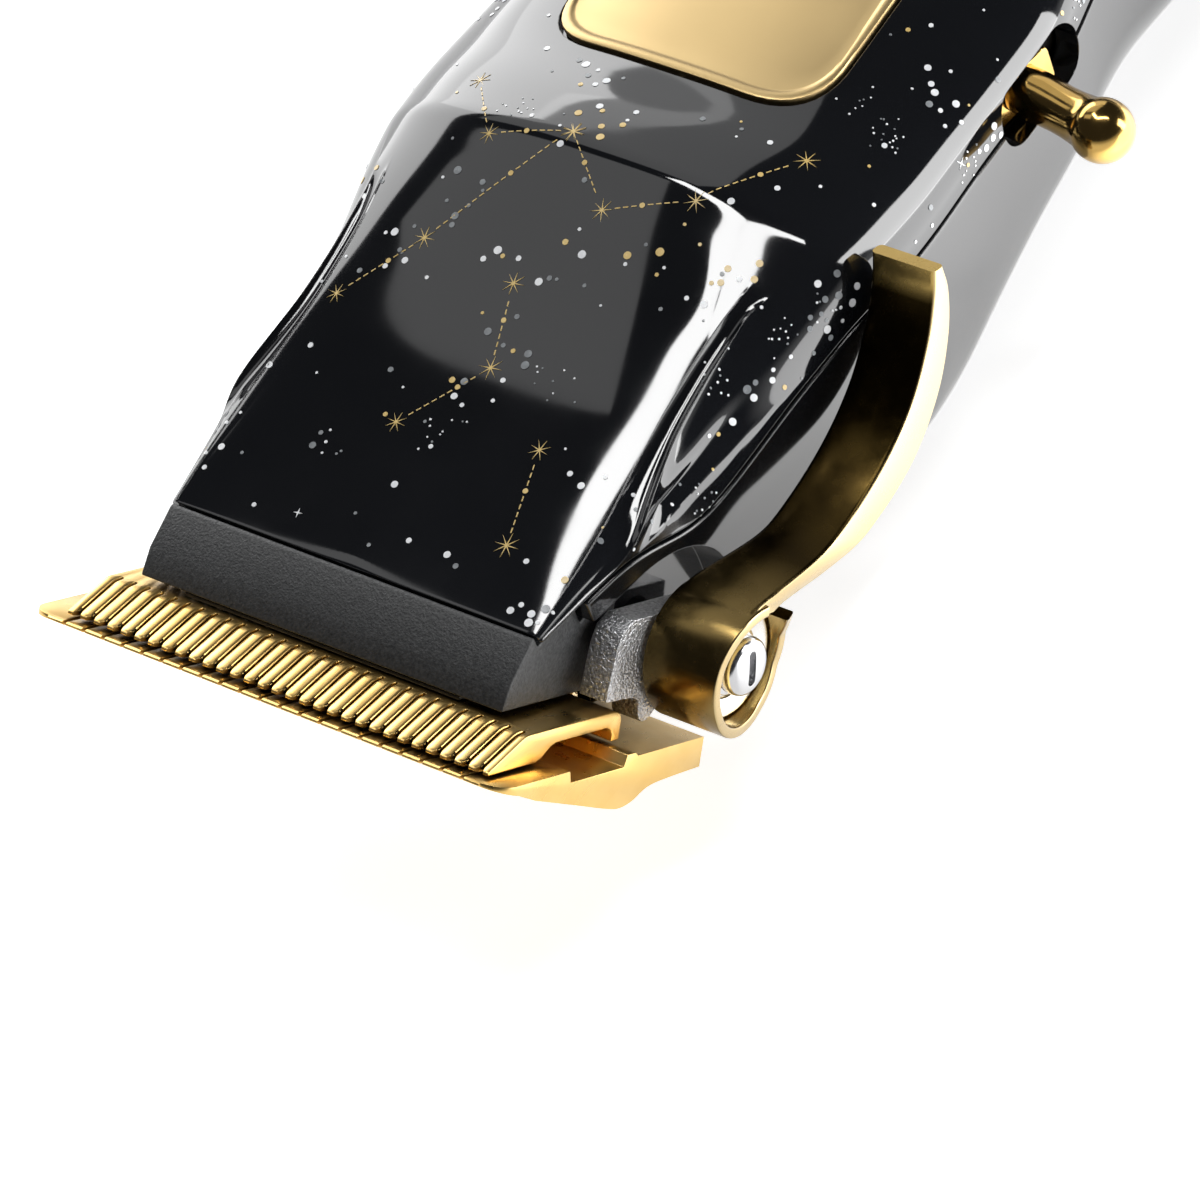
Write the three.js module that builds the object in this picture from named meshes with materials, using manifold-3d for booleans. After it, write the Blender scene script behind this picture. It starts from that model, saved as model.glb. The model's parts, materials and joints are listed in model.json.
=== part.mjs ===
// A cordless hair clipper with a taper lever, built as separate pieces in millimetres.
//
// The pieces are drawn in the handle frame: +X towards the taper lever, +Y along the
// handle towards its rear end, +Z towards the lid, origin on the tooth line of the fixed
// blade. The blade set is drawn in the blade frame, which is the handle frame pitched about
// X: its second axis runs rearward in the blade plane and its third axis points to the lid.
// The exported group moves the handle frame so that the origin is on the belly's flat.

import * as THREE from 'three';
import { mergeVertices } from 'three/addons/utils/BufferGeometryUtils.js';
import Module from 'manifold-3d';

const wasm = await Module();
wasm.setup();

// ---------------------------------------------------------------- driving dimensions

const BLADE_PITCH = THREE.MathUtils.degToRad(39);
const GAP = 0.3;
const REST_Y = 54;
const REST_Z = -26;
const FAR = 60;

// Housing
const FRONT_Y = 13;
const CAP_Y = 157;
const REAR_Y = 165;
const SHELL_WALL = 2.2;
const LID_WALL = 1.9;
const RING_STEPS = 32;
const CAVITY_STEPS = 20;
const TAIL_ROUND = 0.42;
const LEDGE_Z = -2.2;
const LEDGE_Y = 17.5;
const SEAT_U = 19.5;
const SEAT_WALL = 1.6;
const NOTCH_X = 17.45;
const NOTCH_ROOM = 2;
const SCREW_FRONT = { x: 14.6, y: 35.9 };
const SCREW_REAR = { x: 11, y: 150.5 };
const POST = { shell: 3.4, lid: 3, bore: 1.5, pilot: 1.45, head: 2.7, seatZ: -17, meetZ: -12 };
const INLET = { z: -4, halfX: 4.95, halfZ: 2.05, depth: 5.5 };
const LAMP = { z: 2.2, radius: 1.2, bore: 1.5, length: 2.2 };

// Blades
const BLADE_HALF = 23.25;
const BLADE_DEPTH = 25.8;
const FIXED_TEETH = { count: 22, pitch: 1.95, slot: 0.85, root: 6.4 };
const CUTTER_HALF = 20.62;
const CUTTER_TEETH = { count: 31, pitch: 1.36, slot: 0.5, root: 5.9 };
const STROKE = 1.3;
const STROKE_AT_REST = 0.545;
const BLADE_SCREW_X = 12.7;
const BLADE_SCREW_U = 22;
const BLADE_TOP = 0.15;
const GUIDE_N = [2.87, 3.45];

// Taper lever
const PIVOT = { y: 22.9, z: -9.8 };
const HUB_RADIUS = 5.6;
const HUB_X = [21.5, 28.3];
const HUB_FLOOR = 24.4;
const DISH = { x: [24.7, 25.3], radius: 4.4, bore: 1.2 };
const WASHER = { x: [25.6, 26.0], radius: 3, bore: 1.2 };
const LEVER_SCREW = { headX: [26.3, 27.8], head: [2.45, 2.2], shankX: [17, 26.6], shank: 0.7 };
const ARM_X = [24, 30];
const CRANK_RADIUS = 2.26;
const RIM_TILT = 11;
const LEVER_TOP = [
  [28, -4.7], [34, -5.1], [40, -4.3], [45, -2.3], [48.8, 0.9], [51.0, 3.9], [51.9, 5.8],
];
const LEVER_UNDERSIDE = [
  [52.9, 2.8], [51.4, -0.7], [48.3, -4.4], [43.5, -7.2], [37.5, -8.1], [32, -7.6], [27.2, -6.4],
];

// Switch
const SWITCH = { y: 75.5, z: 0.1, pivotX: 17, tilt: THREE.MathUtils.degToRad(10) };
const SLOT = { x: 17.5, halfY: 5.7, halfZ: 2.6, corner: 2.4 };
const TOGGLE = {
  stemX: [18.7, 21.5], stem: 1.0, flangeX: [21.0, 21.9], neckX: [21.6, 29], neck: [1.95, 2.15],
  ballX: 30.5, ball: 2.65,
};

// Drive and battery
const MOTOR = { z: -9, radius: 12.5, y: [40, 66] };
const PIN_Y = 32.5;
const SHAFT_BORE = 1.45;
const BATTERY = { z: -6.3, radius: 9.15, y: [82, 147] };

// Badge
const BADGE = { y: [59.9, 104], front: 12.9, rear: 11, corner: 5.5 };

// Half-width, crown height, belly depth and crown power of the housing along the handle.
const STATIONS = [
  { y: 13, width: 18.2, top: 1.0, bottom: 15.5, power: 8 },
  { y: 18, width: 19.0, top: 2.3, bottom: 17.6, power: 5 },
  { y: 22, width: 19.7, top: 3.2, bottom: 19.2, power: 4.2 },
  { y: 26, width: 20.4, top: 4.0, bottom: 20.6, power: 3.8 },
  { y: 33, width: 21.2, top: 5.0, bottom: 23.1, power: 3.4 },
  { y: 40, width: 21.9, top: 6.6, bottom: 25.3, power: 3 },
  { y: 45, width: 22.6, top: 8.6, bottom: 26.6, power: 2.7 },
  { y: 50, width: 23.2, top: 10.2, bottom: 27.3, power: 2.6 },
  { y: 55, width: 23.7, top: 9.6, bottom: 27.3, power: 2.6 },
  { y: 60, width: 23.7, top: 8.8, bottom: 26.4, power: 2.6 },
  { y: 66, width: 23.3, top: 8.4, bottom: 24.0, power: 2.6 },
  { y: 73, width: 23.2, top: 8.2, bottom: 20.8, power: 2.6 },
  { y: 80, width: 23.1, top: 8.1, bottom: 18.7, power: 2.6 },
  { y: 85, width: 21.7, top: 8.2, bottom: 18.5, power: 2.6 },
  { y: 91, width: 20.4, top: 8.3, bottom: 19.4, power: 2.6 },
  { y: 98, width: 19.8, top: 8.5, bottom: 21.1, power: 2.6 },
  { y: 112, width: 19.4, top: 9.0, bottom: 23.6, power: 2.6 },
  { y: 128, width: 20.0, top: 9.4, bottom: 25.5, power: 2.6 },
  { y: 143, width: 20.8, top: 9.5, bottom: 26.7, power: 2.6 },
  { y: 152, width: 21.0, top: 9.3, bottom: 26.9, power: 2.6 },
  { y: 157, width: 20.9, top: 9.1, bottom: 26.3, power: 2.6 },
  { y: 160.5, width: 20.8, top: 9.0, bottom: 25.9, power: 2.6 },
  { y: 163.4, width: 20.7, top: 8.9, bottom: 25.6, power: 2.6 },
  { y: 165, width: 20.6, top: 8.8, bottom: 25.4, power: 2.6 },
];
const BELLY_POWER = 3;

// The parting line between lid and shell dips at the side scoops behind the lever.
const PARTING = [[13, 0], [22, 0], [25, -0.9], [28, -2.3], [31, -2.6], [36, -1.9], [42, -0.8], [48, 0]];

// ---------------------------------------------------------------- solids and materials

const toHandle = new THREE.Matrix4().makeRotationX(-BLADE_PITCH);
const toBlade = toHandle.clone().invert();

function solid(geometry) {
  geometry.deleteAttribute('normal');
  geometry.deleteAttribute('uv');
  const merged = mergeVertices(geometry, 1e-4);
  const vertProperties = new Float32Array(merged.attributes.position.array);
  const triVerts = new Uint32Array(merged.index.array);
  return new wasm.Manifold(new wasm.Mesh({ numProp: 3, vertProperties, triVerts }));
}

function geometryOf(body) {
  const mesh = body.getMesh();
  const geometry = new THREE.BufferGeometry();
  geometry.setAttribute('position', new THREE.BufferAttribute(mesh.vertProperties, 3));
  geometry.setIndex(new THREE.BufferAttribute(mesh.triVerts, 1));
  geometry.computeVertexNormals();
  return geometry;
}

function box(xs, ys, zs, matrix) {
  const geometry = new THREE.BoxGeometry(xs[1] - xs[0], ys[1] - ys[0], zs[1] - zs[0]);
  geometry.translate((xs[0] + xs[1]) / 2, (ys[0] + ys[1]) / 2, (zs[0] + zs[1]) / 2);
  return solid(matrix ? geometry.applyMatrix4(matrix) : geometry);
}

// A round bar along X, Y or Z between two places on that axis, centred at (p, q).
function bar(axis, ends, p, q, radius, endRadius = radius, steps = 24) {
  const length = ends[1] - ends[0];
  const middle = (ends[0] + ends[1]) / 2;
  const geometry = new THREE.CylinderGeometry(endRadius, radius, length, steps);
  if (axis === 'x') {
    geometry.rotateZ(-Math.PI / 2).translate(middle, p, q);
  } else if (axis === 'y') {
    geometry.translate(p, middle, q);
  } else {
    geometry.rotateX(Math.PI / 2).translate(p, q, middle);
  }
  return solid(geometry);
}

// An outline in the Y-Z plane (or the u-n plane of the blade) extruded along X.
function prismX(shape, xs, bevel = 0, curveSegments = 5) {
  const geometry = new THREE.ExtrudeGeometry(shape, {
    depth: xs[1] - xs[0] - 2 * bevel,
    bevelEnabled: bevel > 0,
    bevelSize: bevel,
    bevelOffset: -bevel,
    bevelThickness: bevel,
    bevelSegments: 1,
    curveSegments,
  });
  const alongX = new THREE.Matrix4().makeBasis(
    new THREE.Vector3(0, 1, 0), new THREE.Vector3(0, 0, 1), new THREE.Vector3(1, 0, 0),
  );
  return solid(geometry.applyMatrix4(alongX).translate(xs[0] + bevel, 0, 0));
}

function polygon(points) {
  return new THREE.Shape(points.map(([p, q]) => new THREE.Vector2(p, q)));
}

function roundedRectangle(halfP, halfQ, corner) {
  const shape = new THREE.Shape();
  shape.moveTo(-halfP + corner, -halfQ);
  shape.absarc(halfP - corner, -halfQ + corner, corner, -Math.PI / 2, 0);
  shape.absarc(halfP - corner, halfQ - corner, corner, 0, Math.PI / 2);
  shape.absarc(-halfP + corner, halfQ - corner, corner, Math.PI / 2, Math.PI);
  shape.absarc(-halfP + corner, -halfQ + corner, corner, Math.PI, 1.5 * Math.PI);
  return shape;
}

// A rounded plate whose face looks along X, centred at (y, z).
function plateX(xs, y, z, halfY, halfZ, corner) {
  return prismX(roundedRectangle(halfY, halfZ, corner), xs).translate([0, y, z]);
}

const PALETTE = {
  gloss_black: { color: 0x101214, roughness: 0.12, metalness: 0 },
  matte_charcoal: { color: 0x3a3b3d, roughness: 0.75, metalness: 0 },
  gold_blade: { color: 0xe3b863, roughness: 0.32, metalness: 1 },
  gold_polished: { color: 0xd9a63e, roughness: 0.14, metalness: 1 },
  gold_satin: { color: 0xcfa560, roughness: 0.38, metalness: 1 },
  cast_metal: { color: 0xa9abad, roughness: 0.55, metalness: 0.9 },
  steel: { color: 0xc4c6c9, roughness: 0.22, metalness: 1 },
  black_rubber: { color: 0x141414, roughness: 0.9, metalness: 0 },
  grey_plastic: { color: 0x55585c, roughness: 0.6, metalness: 0 },
  board_green: { color: 0x1d5a3a, roughness: 0.5, metalness: 0 },
  battery_wrap: { color: 0x2f6fb0, roughness: 0.35, metalness: 0 },
  lens: { color: 0xdfe8ee, roughness: 0.2, metalness: 0 },
};

function mesh(name, body, finish) {
  const result = new THREE.Mesh(geometryOf(body), new THREE.MeshStandardMaterial(PALETTE[finish]));
  result.name = name;
  return result;
}

// ---------------------------------------------------------------- housing form

function sectionAt(y) {
  const last = STATIONS.length - 2;
  const found = STATIONS.findIndex((station) => station.y >= y) - 1;
  const row = THREE.MathUtils.clamp(found, 0, last);
  const [a, b] = [STATIONS[row], STATIONS[row + 1]];
  const t = (y - a.y) / (b.y - a.y);
  const k = THREE.MathUtils.clamp((y - CAP_Y + 2) / (REAR_Y - CAP_Y + 2), 0, 1);
  const tail = 1 - TAIL_ROUND * (1 - Math.sqrt(1 - k * k));
  return {
    width: tail * THREE.MathUtils.lerp(a.width, b.width, t),
    top: tail * THREE.MathUtils.lerp(a.top, b.top, t),
    bottom: tail * THREE.MathUtils.lerp(a.bottom, b.bottom, t),
    power: THREE.MathUtils.lerp(a.power, b.power, t),
  };
}

// The cylinder's seam and axis vertices land exactly on zero.
function snapped(value) {
  return Math.abs(value) < 1e-9 ? 0 : value;
}

// The housing's closed form between two places along the handle, moved in by an inset. A
// cylinder's rings become superellipses that follow the stations. A cavity needs fewer rings.
function housingForm(inset, yStart, yEnd, ringSteps = RING_STEPS, skip = 1) {
  const inner = STATIONS.map((station) => station.y)
    .filter((y, i) => y > yStart && y < yEnd && i % skip === 0);
  const rows = [yStart, ...inner, yEnd];
  const geometry = new THREE.CylinderGeometry(1, 1, 1, ringSteps, rows.length - 1);
  const place = geometry.attributes.position;
  for (let i = 0; i < place.count; i += 1) {
    const y = rows[Math.round((0.5 + place.getY(i)) * (rows.length - 1))];
    const section = sectionAt(y);
    const c = snapped(place.getX(i));
    const s = snapped(place.getZ(i));
    const power = s >= 0 ? section.power : BELLY_POWER;
    const height = s >= 0 ? section.top : section.bottom;
    const x = (section.width - inset) * Math.sign(c) * Math.abs(c) ** (2 / power);
    const z = (height - inset) * Math.sign(s) * Math.abs(s) ** (2 / power);
    place.setXYZ(i, x, y, z);
  }
  return solid(geometry);
}

// Everything above the parting line, moved up by a rise.
function aboveParting(rise) {
  const line = PARTING.map(([y, z]) => [y, z + rise]);
  const outline = [[-FAR, rise], ...line, [3 * FAR, rise], [3 * FAR, FAR], [-FAR, FAR]];
  return prismX(polygon(outline), [-FAR, FAR]);
}

// The room round the lever's hub, in front of and below the shell's side wall.
function leverNotch(x, grow) {
  const room = HUB_RADIUS + NOTCH_ROOM + grow;
  const outline = new THREE.Shape();
  outline.moveTo(0, PIVOT.z + room);
  outline.lineTo(PIVOT.y, PIVOT.z + room);
  outline.absarc(PIVOT.y, PIVOT.z, room, Math.PI / 2, 0, true);
  outline.lineTo(PIVOT.y + room, -FAR);
  outline.lineTo(0, -FAR);
  return prismX(outline, [x, FAR], 0, 6);
}

function switchSlot() {
  return plateX([SLOT.x, FAR], SWITCH.y, SWITCH.z, SLOT.halfY, SLOT.halfZ, SLOT.corner);
}

function screwPlaces() {
  return [
    ['front_left', -SCREW_FRONT.x, SCREW_FRONT.y],
    ['front_right', SCREW_FRONT.x, SCREW_FRONT.y],
    ['rear_left', -SCREW_REAR.x, SCREW_REAR.y],
    ['rear_right', SCREW_REAR.x, SCREW_REAR.y],
  ];
}

function shellCavity() {
  const frontWall = box([-FAR, FAR], [-FAR, SEAT_U + SEAT_WALL], [-FAR, FAR], toHandle);
  const seatFloor = box([-FAR, FAR], [-FAR, BLADE_DEPTH + 2.6], [-FAR, 2.6], toHandle);
  return housingForm(SHELL_WALL, LEDGE_Y, CAP_Y - 2, CAVITY_STEPS, 2)
    .subtract(box([-FAR, FAR], [0, FAR * 3], [-FAR, REST_Z + SHELL_WALL]))
    .subtract(frontWall)
    .subtract(seatFloor)
    .subtract(leverNotch(NOTCH_X - 2.15, 1.7));
}

function makeLowerShell() {
  const end = CAP_Y - GAP / 2;
  const below = box([-FAR, FAR], [LEDGE_Y, end], [REST_Z, FAR])
    .subtract(aboveParting(-GAP / 2));
  const nose = box([-FAR, FAR], [-FAR, SEAT_U], [-FAR, FAR], toHandle)
    .intersect(box([-FAR, FAR], [-FAR, FAR], [-FAR, LEDGE_Z]));
  const bladeSeat = box([-FAR, FAR], [-FAR, BLADE_DEPTH + GAP], [-FAR, -BLADE_TOP], toHandle);
  const window = box([-13, 13], [SEAT_U - 2, SEAT_U + 3], [2.6, 5.4], toHandle);
  let shell = housingForm(0, FRONT_Y, end).intersect(below);
  const outer = shell;
  shell = shell.subtract(shellCavity());
  for (const [, x, y] of screwPlaces()) {
    shell = shell.add(bar('z', [REST_Z, POST.meetZ], x, y, POST.shell).intersect(outer));
    shell = shell.subtract(bar('z', [REST_Z - 1, POST.seatZ], x, y, POST.head));
    shell = shell.subtract(bar('z', [REST_Z - 1, POST.meetZ + 2], x, y, POST.bore));
  }
  return shell
    .subtract(nose)
    .subtract(bladeSeat)
    .subtract(leverNotch(NOTCH_X, 0))
    .subtract(window)
    .subtract(bar('x', [10, FAR], PIVOT.y, PIVOT.z, 2.3))
    .subtract(bladeScrewHoles(1.25, [-1, 5], toHandle))
    .subtract(switchSlot());
}

function badgeOutline(grow) {
  const [y0, y1] = [BADGE.y[0] - grow, BADGE.y[1] + grow];
  const [front, rear] = [BADGE.front + grow, BADGE.rear + grow];
  const corner = BADGE.corner + grow;
  const shape = new THREE.Shape();
  shape.moveTo(-front + corner, y0);
  shape.lineTo(front - corner, y0);
  shape.quadraticCurveTo(front, y0, front, y0 + corner);
  shape.lineTo(rear, y1 - corner);
  shape.quadraticCurveTo(rear, y1, rear - corner, y1);
  shape.lineTo(-rear + corner, y1);
  shape.quadraticCurveTo(-rear, y1, -rear, y1 - corner);
  shape.lineTo(-front, y0 + corner);
  shape.quadraticCurveTo(-front, y0, -front + corner, y0);
  return shape;
}

function badgePrism(grow) {
  const geometry = new THREE.ExtrudeGeometry(badgeOutline(grow), {
    depth: 20, bevelEnabled: false, curveSegments: 5,
  });
  return solid(geometry);
}

function makeLid() {
  const end = CAP_Y - GAP / 2;
  const outer = housingForm(0, FRONT_Y, end).intersect(aboveParting(GAP / 2));
  const cavity = housingForm(LID_WALL, 27, CAP_Y - 2, CAVITY_STEPS, 2);
  const pocket = badgePrism(GAP).subtract(housingForm(0.65, FRONT_Y, end));
  let lid = outer.subtract(cavity);
  for (const [, x, y] of screwPlaces()) {
    const post = bar('z', [POST.meetZ + 0.5, FAR], x, y, POST.lid);
    lid = lid.add(post.intersect(outer)).add(bar('z', [POST.meetZ + 0.5, 1], x, y, POST.lid));
    lid = lid.subtract(bar('z', [POST.meetZ, -0.5], x, y, POST.pilot));
  }
  return lid.subtract(pocket).subtract(switchSlot());
}

function makeBadge() {
  const end = CAP_Y - GAP / 2;
  return badgePrism(0)
    .intersect(housingForm(-0.4, FRONT_Y, end))
    .subtract(housingForm(0.35, FRONT_Y, end));
}

function makeRearCap() {
  const form = housingForm(0, CAP_Y + GAP / 2, REAR_Y);
  const belly = box([-FAR, FAR], [0, FAR * 3], [REST_Z - FAR, REST_Z]);
  const inletY = [REAR_Y - INLET.depth, REAR_Y + 1];
  const inlet = roundedSlotY(inletY, 0, INLET.z, INLET.halfX, INLET.halfZ);
  return form
    .subtract(belly)
    .subtract(inlet)
    .subtract(bar('y', [REAR_Y - 2.5, REAR_Y + 1], 0, LAMP.z, LAMP.bore, LAMP.bore, 16));
}

// A bar with a slot-shaped section and round ends, along Y.
function roundedSlotY(ends, x, z, halfX, halfZ) {
  const geometry = new THREE.ExtrudeGeometry(
    roundedRectangle(halfX, halfZ, halfZ * 0.98),
    { depth: ends[1] - ends[0], bevelEnabled: false, curveSegments: 5 },
  );
  return solid(geometry.rotateX(Math.PI / 2).translate(x, ends[1], z));
}

function makeChargingSocket() {
  const [halfX, halfZ] = [INLET.halfX - 0.35, INLET.halfZ - 0.35];
  const sleeve = roundedSlotY([CAP_Y + 2.8, REAR_Y - 0.5], 0, INLET.z, halfX, halfZ);
  const mouth = roundedSlotY([CAP_Y + 4, REAR_Y + 1], 0, INLET.z, halfX - 0.4, halfZ - 0.4);
  const tongue = box([-3.4, 3.4], [CAP_Y + 3.5, REAR_Y - 1.6], [-4.35, -3.65]);
  return sleeve.subtract(mouth).add(tongue);
}

function makeChargeLight() {
  return bar('y', [REAR_Y - LAMP.length, REAR_Y], 0, LAMP.z, LAMP.radius, LAMP.radius, 16);
}

function makeHousingScrew(x, y) {
  return bar('z', [-19.2, -17.3], x, y, 2.4)
    .add(bar('z', [-18, -3], x, y, 1.15, 1.15, 12))
    .subtract(box([x - 1.8, x + 1.8], [y - 0.35, y + 0.35], [-20, -18.5]))
    .subtract(box([x - 0.35, x + 0.35], [y - 1.8, y + 1.8], [-20, -18.5]));
}

// ---------------------------------------------------------------- nose and blades

// The nose cover is drawn in the handle frame, in front of and below the lid's edge.
function makeNoseCover() {
  const cos = Math.cos(BLADE_PITCH);
  const sin = Math.sin(BLADE_PITCH);
  const at = (u, n) => [u * cos + n * sin, n * cos - u * sin];
  const backAt = (z) => [(SEAT_U - GAP + z * sin) / cos, z];
  const outline = polygon([
    at(6.45, 3.13), at(SEAT_U - GAP, 3.13), backAt(LEDGE_Z - GAP), [LEDGE_Y - GAP, LEDGE_Z - GAP],
    [LEDGE_Y - GAP, -0.2], [12.6, -0.2], [12.6, 0.85], at(8.95, 8.45), at(7.25, 5.3),
  ]);
  const recess = box([-14.3, 14.3], [7.5, FAR], [-FAR, 4.4], toHandle);
  const springRoom = box([-14.3, 14.3], [10.4, FAR], [-FAR, 6.3], toHandle);
  return prismX(outline, [-17.75, 17.75]).subtract(recess).subtract(springRoom);
}

function bladeScrewHoles(radius, ns, matrix) {
  const holes = [-BLADE_SCREW_X, BLADE_SCREW_X].map((x) => {
    const length = ns[1] - ns[0];
    const geometry = new THREE.CylinderGeometry(radius, radius, length, 16).rotateX(Math.PI / 2);
    geometry.translate(x, BLADE_SCREW_U, (ns[0] + ns[1]) / 2);
    return solid(matrix ? geometry.applyMatrix4(matrix) : geometry);
  });
  return holes[0].add(holes[1]);
}

// Narrow gaps between the teeth, each with a V at its root.
function toothSlots(teeth, centre, low, high) {
  const half = teeth.slot / 2;
  let slots = null;
  for (let i = 0; i < teeth.count - 1; i += 1) {
    const x = centre + (i - (teeth.count - 2) / 2) * teeth.pitch;
    const outline = new THREE.Shape();
    outline.moveTo(x - half * 1.25, -2);
    outline.lineTo(x + half * 1.25, -2);
    outline.lineTo(x + half * 0.85, teeth.root - 0.6);
    outline.lineTo(x, teeth.root);
    outline.lineTo(x - half * 0.85, teeth.root - 0.6);
    const depth = high - low;
    const slot = solid(
      new THREE.ExtrudeGeometry(outline, { depth, bevelEnabled: false }).translate(0, 0, low),
    );
    slots = slots ? slots.add(slot) : slot;
  }
  return slots;
}

function makeFixedBlade() {
  const outline = new THREE.Shape();
  outline.moveTo(0, -0.45);
  outline.lineTo(2.35, -0.95);
  outline.lineTo(4.6, -1.75);
  outline.lineTo(14.6, -4.3);
  outline.quadraticCurveTo(17.1, -4.85, 18.4, -3.6);
  outline.lineTo(19.7, -3.2);
  outline.lineTo(BLADE_DEPTH, -2.9);
  outline.lineTo(BLADE_DEPTH, -0.45);
  outline.lineTo(17.3, -0.45);
  outline.lineTo(16.9, -BLADE_TOP);
  outline.lineTo(15.9, -BLADE_TOP);
  outline.lineTo(15.6, -1.1);
  outline.lineTo(8.9, -1.1);
  outline.lineTo(8.6, -BLADE_TOP);
  outline.lineTo(0, -BLADE_TOP);
  const cornerCut = (side) => {
    const corner = new THREE.Shape();
    corner.moveTo(side * (BLADE_HALF + 1), -1);
    corner.lineTo(side * (BLADE_HALF - 1.6), -1);
    corner.lineTo(side * (BLADE_HALF - 1.6), 0.15);
    corner.quadraticCurveTo(side * (BLADE_HALF - 0.1), 0.4, side * BLADE_HALF, 2.2);
    corner.lineTo(side * (BLADE_HALF + 1), 2.2);
    const options = { depth: 8, bevelEnabled: false, curveSegments: 4 };
    return solid(new THREE.ExtrudeGeometry(corner, options).translate(0, 0, -6));
  };
  return prismX(outline, [-BLADE_HALF, BLADE_HALF])
    .subtract(toothSlots(FIXED_TEETH, 0, -6, 2))
    .subtract(cornerCut(-1))
    .subtract(cornerCut(1))
    .subtract(bladeScrewHoles(1.6, [-6, 2]));
}

function makeMovingBlade() {
  const outline = polygon([
    [1.0, BLADE_TOP], [7.0, BLADE_TOP], [8.6, 0.97], [16.4, 0.97], [16.4, BLADE_TOP],
    [17.4, BLADE_TOP], [17.4, 2.0], [16.8, 2.57], [5.3, 2.57], [1.0, 0.45],
  ]);
  return prismX(outline, [-CUTTER_HALF, CUTTER_HALF])
    .subtract(toothSlots(CUTTER_TEETH, 0, -2, 5))
    .translate([STROKE_AT_REST, 0, 0]);
}

function makeBladeScrew(x) {
  const head = bar('z', [-4.5, -3.35], x, BLADE_SCREW_U, 2.6, 2.6, 20);
  const shank = bar('z', [-4, 1.9], x, BLADE_SCREW_U, 1.0, 1.0, 12);
  const slot = box([x - 0.35, x + 0.35], [BLADE_SCREW_U - 2, BLADE_SCREW_U + 2], [-5, -3.95]);
  return head.add(shank).subtract(slot);
}

// The guide plate presses the moving blade down. Its fork on the lever's side holds the
// crank pin of the lever shaft.
function makeCutterGuide() {
  const [low, high] = GUIDE_N;
  const plate = box([-13.5, 13.5], [8.1, 12.6], GUIDE_N);
  const crankU = PIVOT.y * Math.cos(BLADE_PITCH) - PIVOT.z * Math.sin(BLADE_PITCH);
  const slot = 1.15;
  const prong = 1.3;
  const fork = polygon([
    [11.5, low], [crankU + slot + prong, low], [crankU + slot + prong, 10.9],
    [crankU + slot, 10.9], [crankU + slot, 4.6], [crankU - slot, 4.6],
    [crankU - slot, 10.9], [crankU - slot - prong, 10.9], [crankU - slot - prong, high],
    [11.5, high],
  ]);
  return plate.add(prismX(fork, [9.4, 11.6]));
}

// The yoke clips on the moving blade and reaches back to the motor's eccentric pin, which
// stops short of it even when the taper is drawn right back.
function makeDriveYoke() {
  const arm = polygon([
    [13.2, GUIDE_N[0]], [25.5, GUIDE_N[0]], [31, 6.2], [31, 9.6], [27.6, 9.6], [24.4, 4.1],
    [13.2, 4.1],
  ]);
  const forkEnds = [27.6, 30.7];
  const fork = box([-5, 5], forkEnds, [-14.5, -4.5], toBlade);
  const slot = box([-1.15, 1.15], [forkEnds[0] - 1, forkEnds[1] + 1], [-12, 0], toBlade);
  return prismX(arm, [-3.2, 3.2]).add(fork).subtract(slot).translate([STROKE_AT_REST, 0, 0]);
}

// A bent wire behind the nose cover that presses on the guide plate.
function makeTensionSpring() {
  const points = [
    [-12, 17, 5.2], [-12, 14, 4.9], [-11.4, 12.4, 4.4], [-8, 12, 4.3],
    [0, 12, 4.3], [8, 12, 4.3], [11.4, 12.4, 4.4], [12, 14, 4.9], [12, 17, 5.2],
  ].map((p) => new THREE.Vector3(...p));
  const path = new THREE.CatmullRomCurve3(points);
  const wire = new THREE.Shape().absarc(0, 0, 0.5, 0, 2 * Math.PI);
  return solid(new THREE.ExtrudeGeometry(wire, {
    steps: 20, extrudePath: path, bevelEnabled: false, curveSegments: 4,
  }));
}

// ---------------------------------------------------------------- taper lever

function makeLeverBracket() {
  const outline = polygon([
    [14.9, 3.5], [15.6, 9.0], [17.0, 9.8], [27.6, 9.8], [28.2, 4.0], [26.5, 2.6],
    [22.2, 2.6], [21.4, 1.3], [20.2, 1.1], [19.5, 1.6], [19.4, 2.9],
  ]);
  const block = prismX(outline, [17.78, 21.2], 0.5);
  const pivotU = PIVOT.y * Math.cos(BLADE_PITCH) - PIVOT.z * Math.sin(BLADE_PITCH);
  const pivotN = PIVOT.y * Math.sin(BLADE_PITCH) + PIVOT.z * Math.cos(BLADE_PITCH);
  const ceiling = box([0, FAR], [0, FAR], [LEDGE_Z - GAP, FAR], toBlade);
  const rearWall = box([0, FAR], [PIVOT.y + HUB_RADIUS + 1, FAR * 2], [-FAR, FAR], toBlade);
  return block
    .subtract(ceiling)
    .subtract(rearWall)
    .subtract(bar('x', [0, FAR], pivotU, pivotN, 2.3));
}

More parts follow.
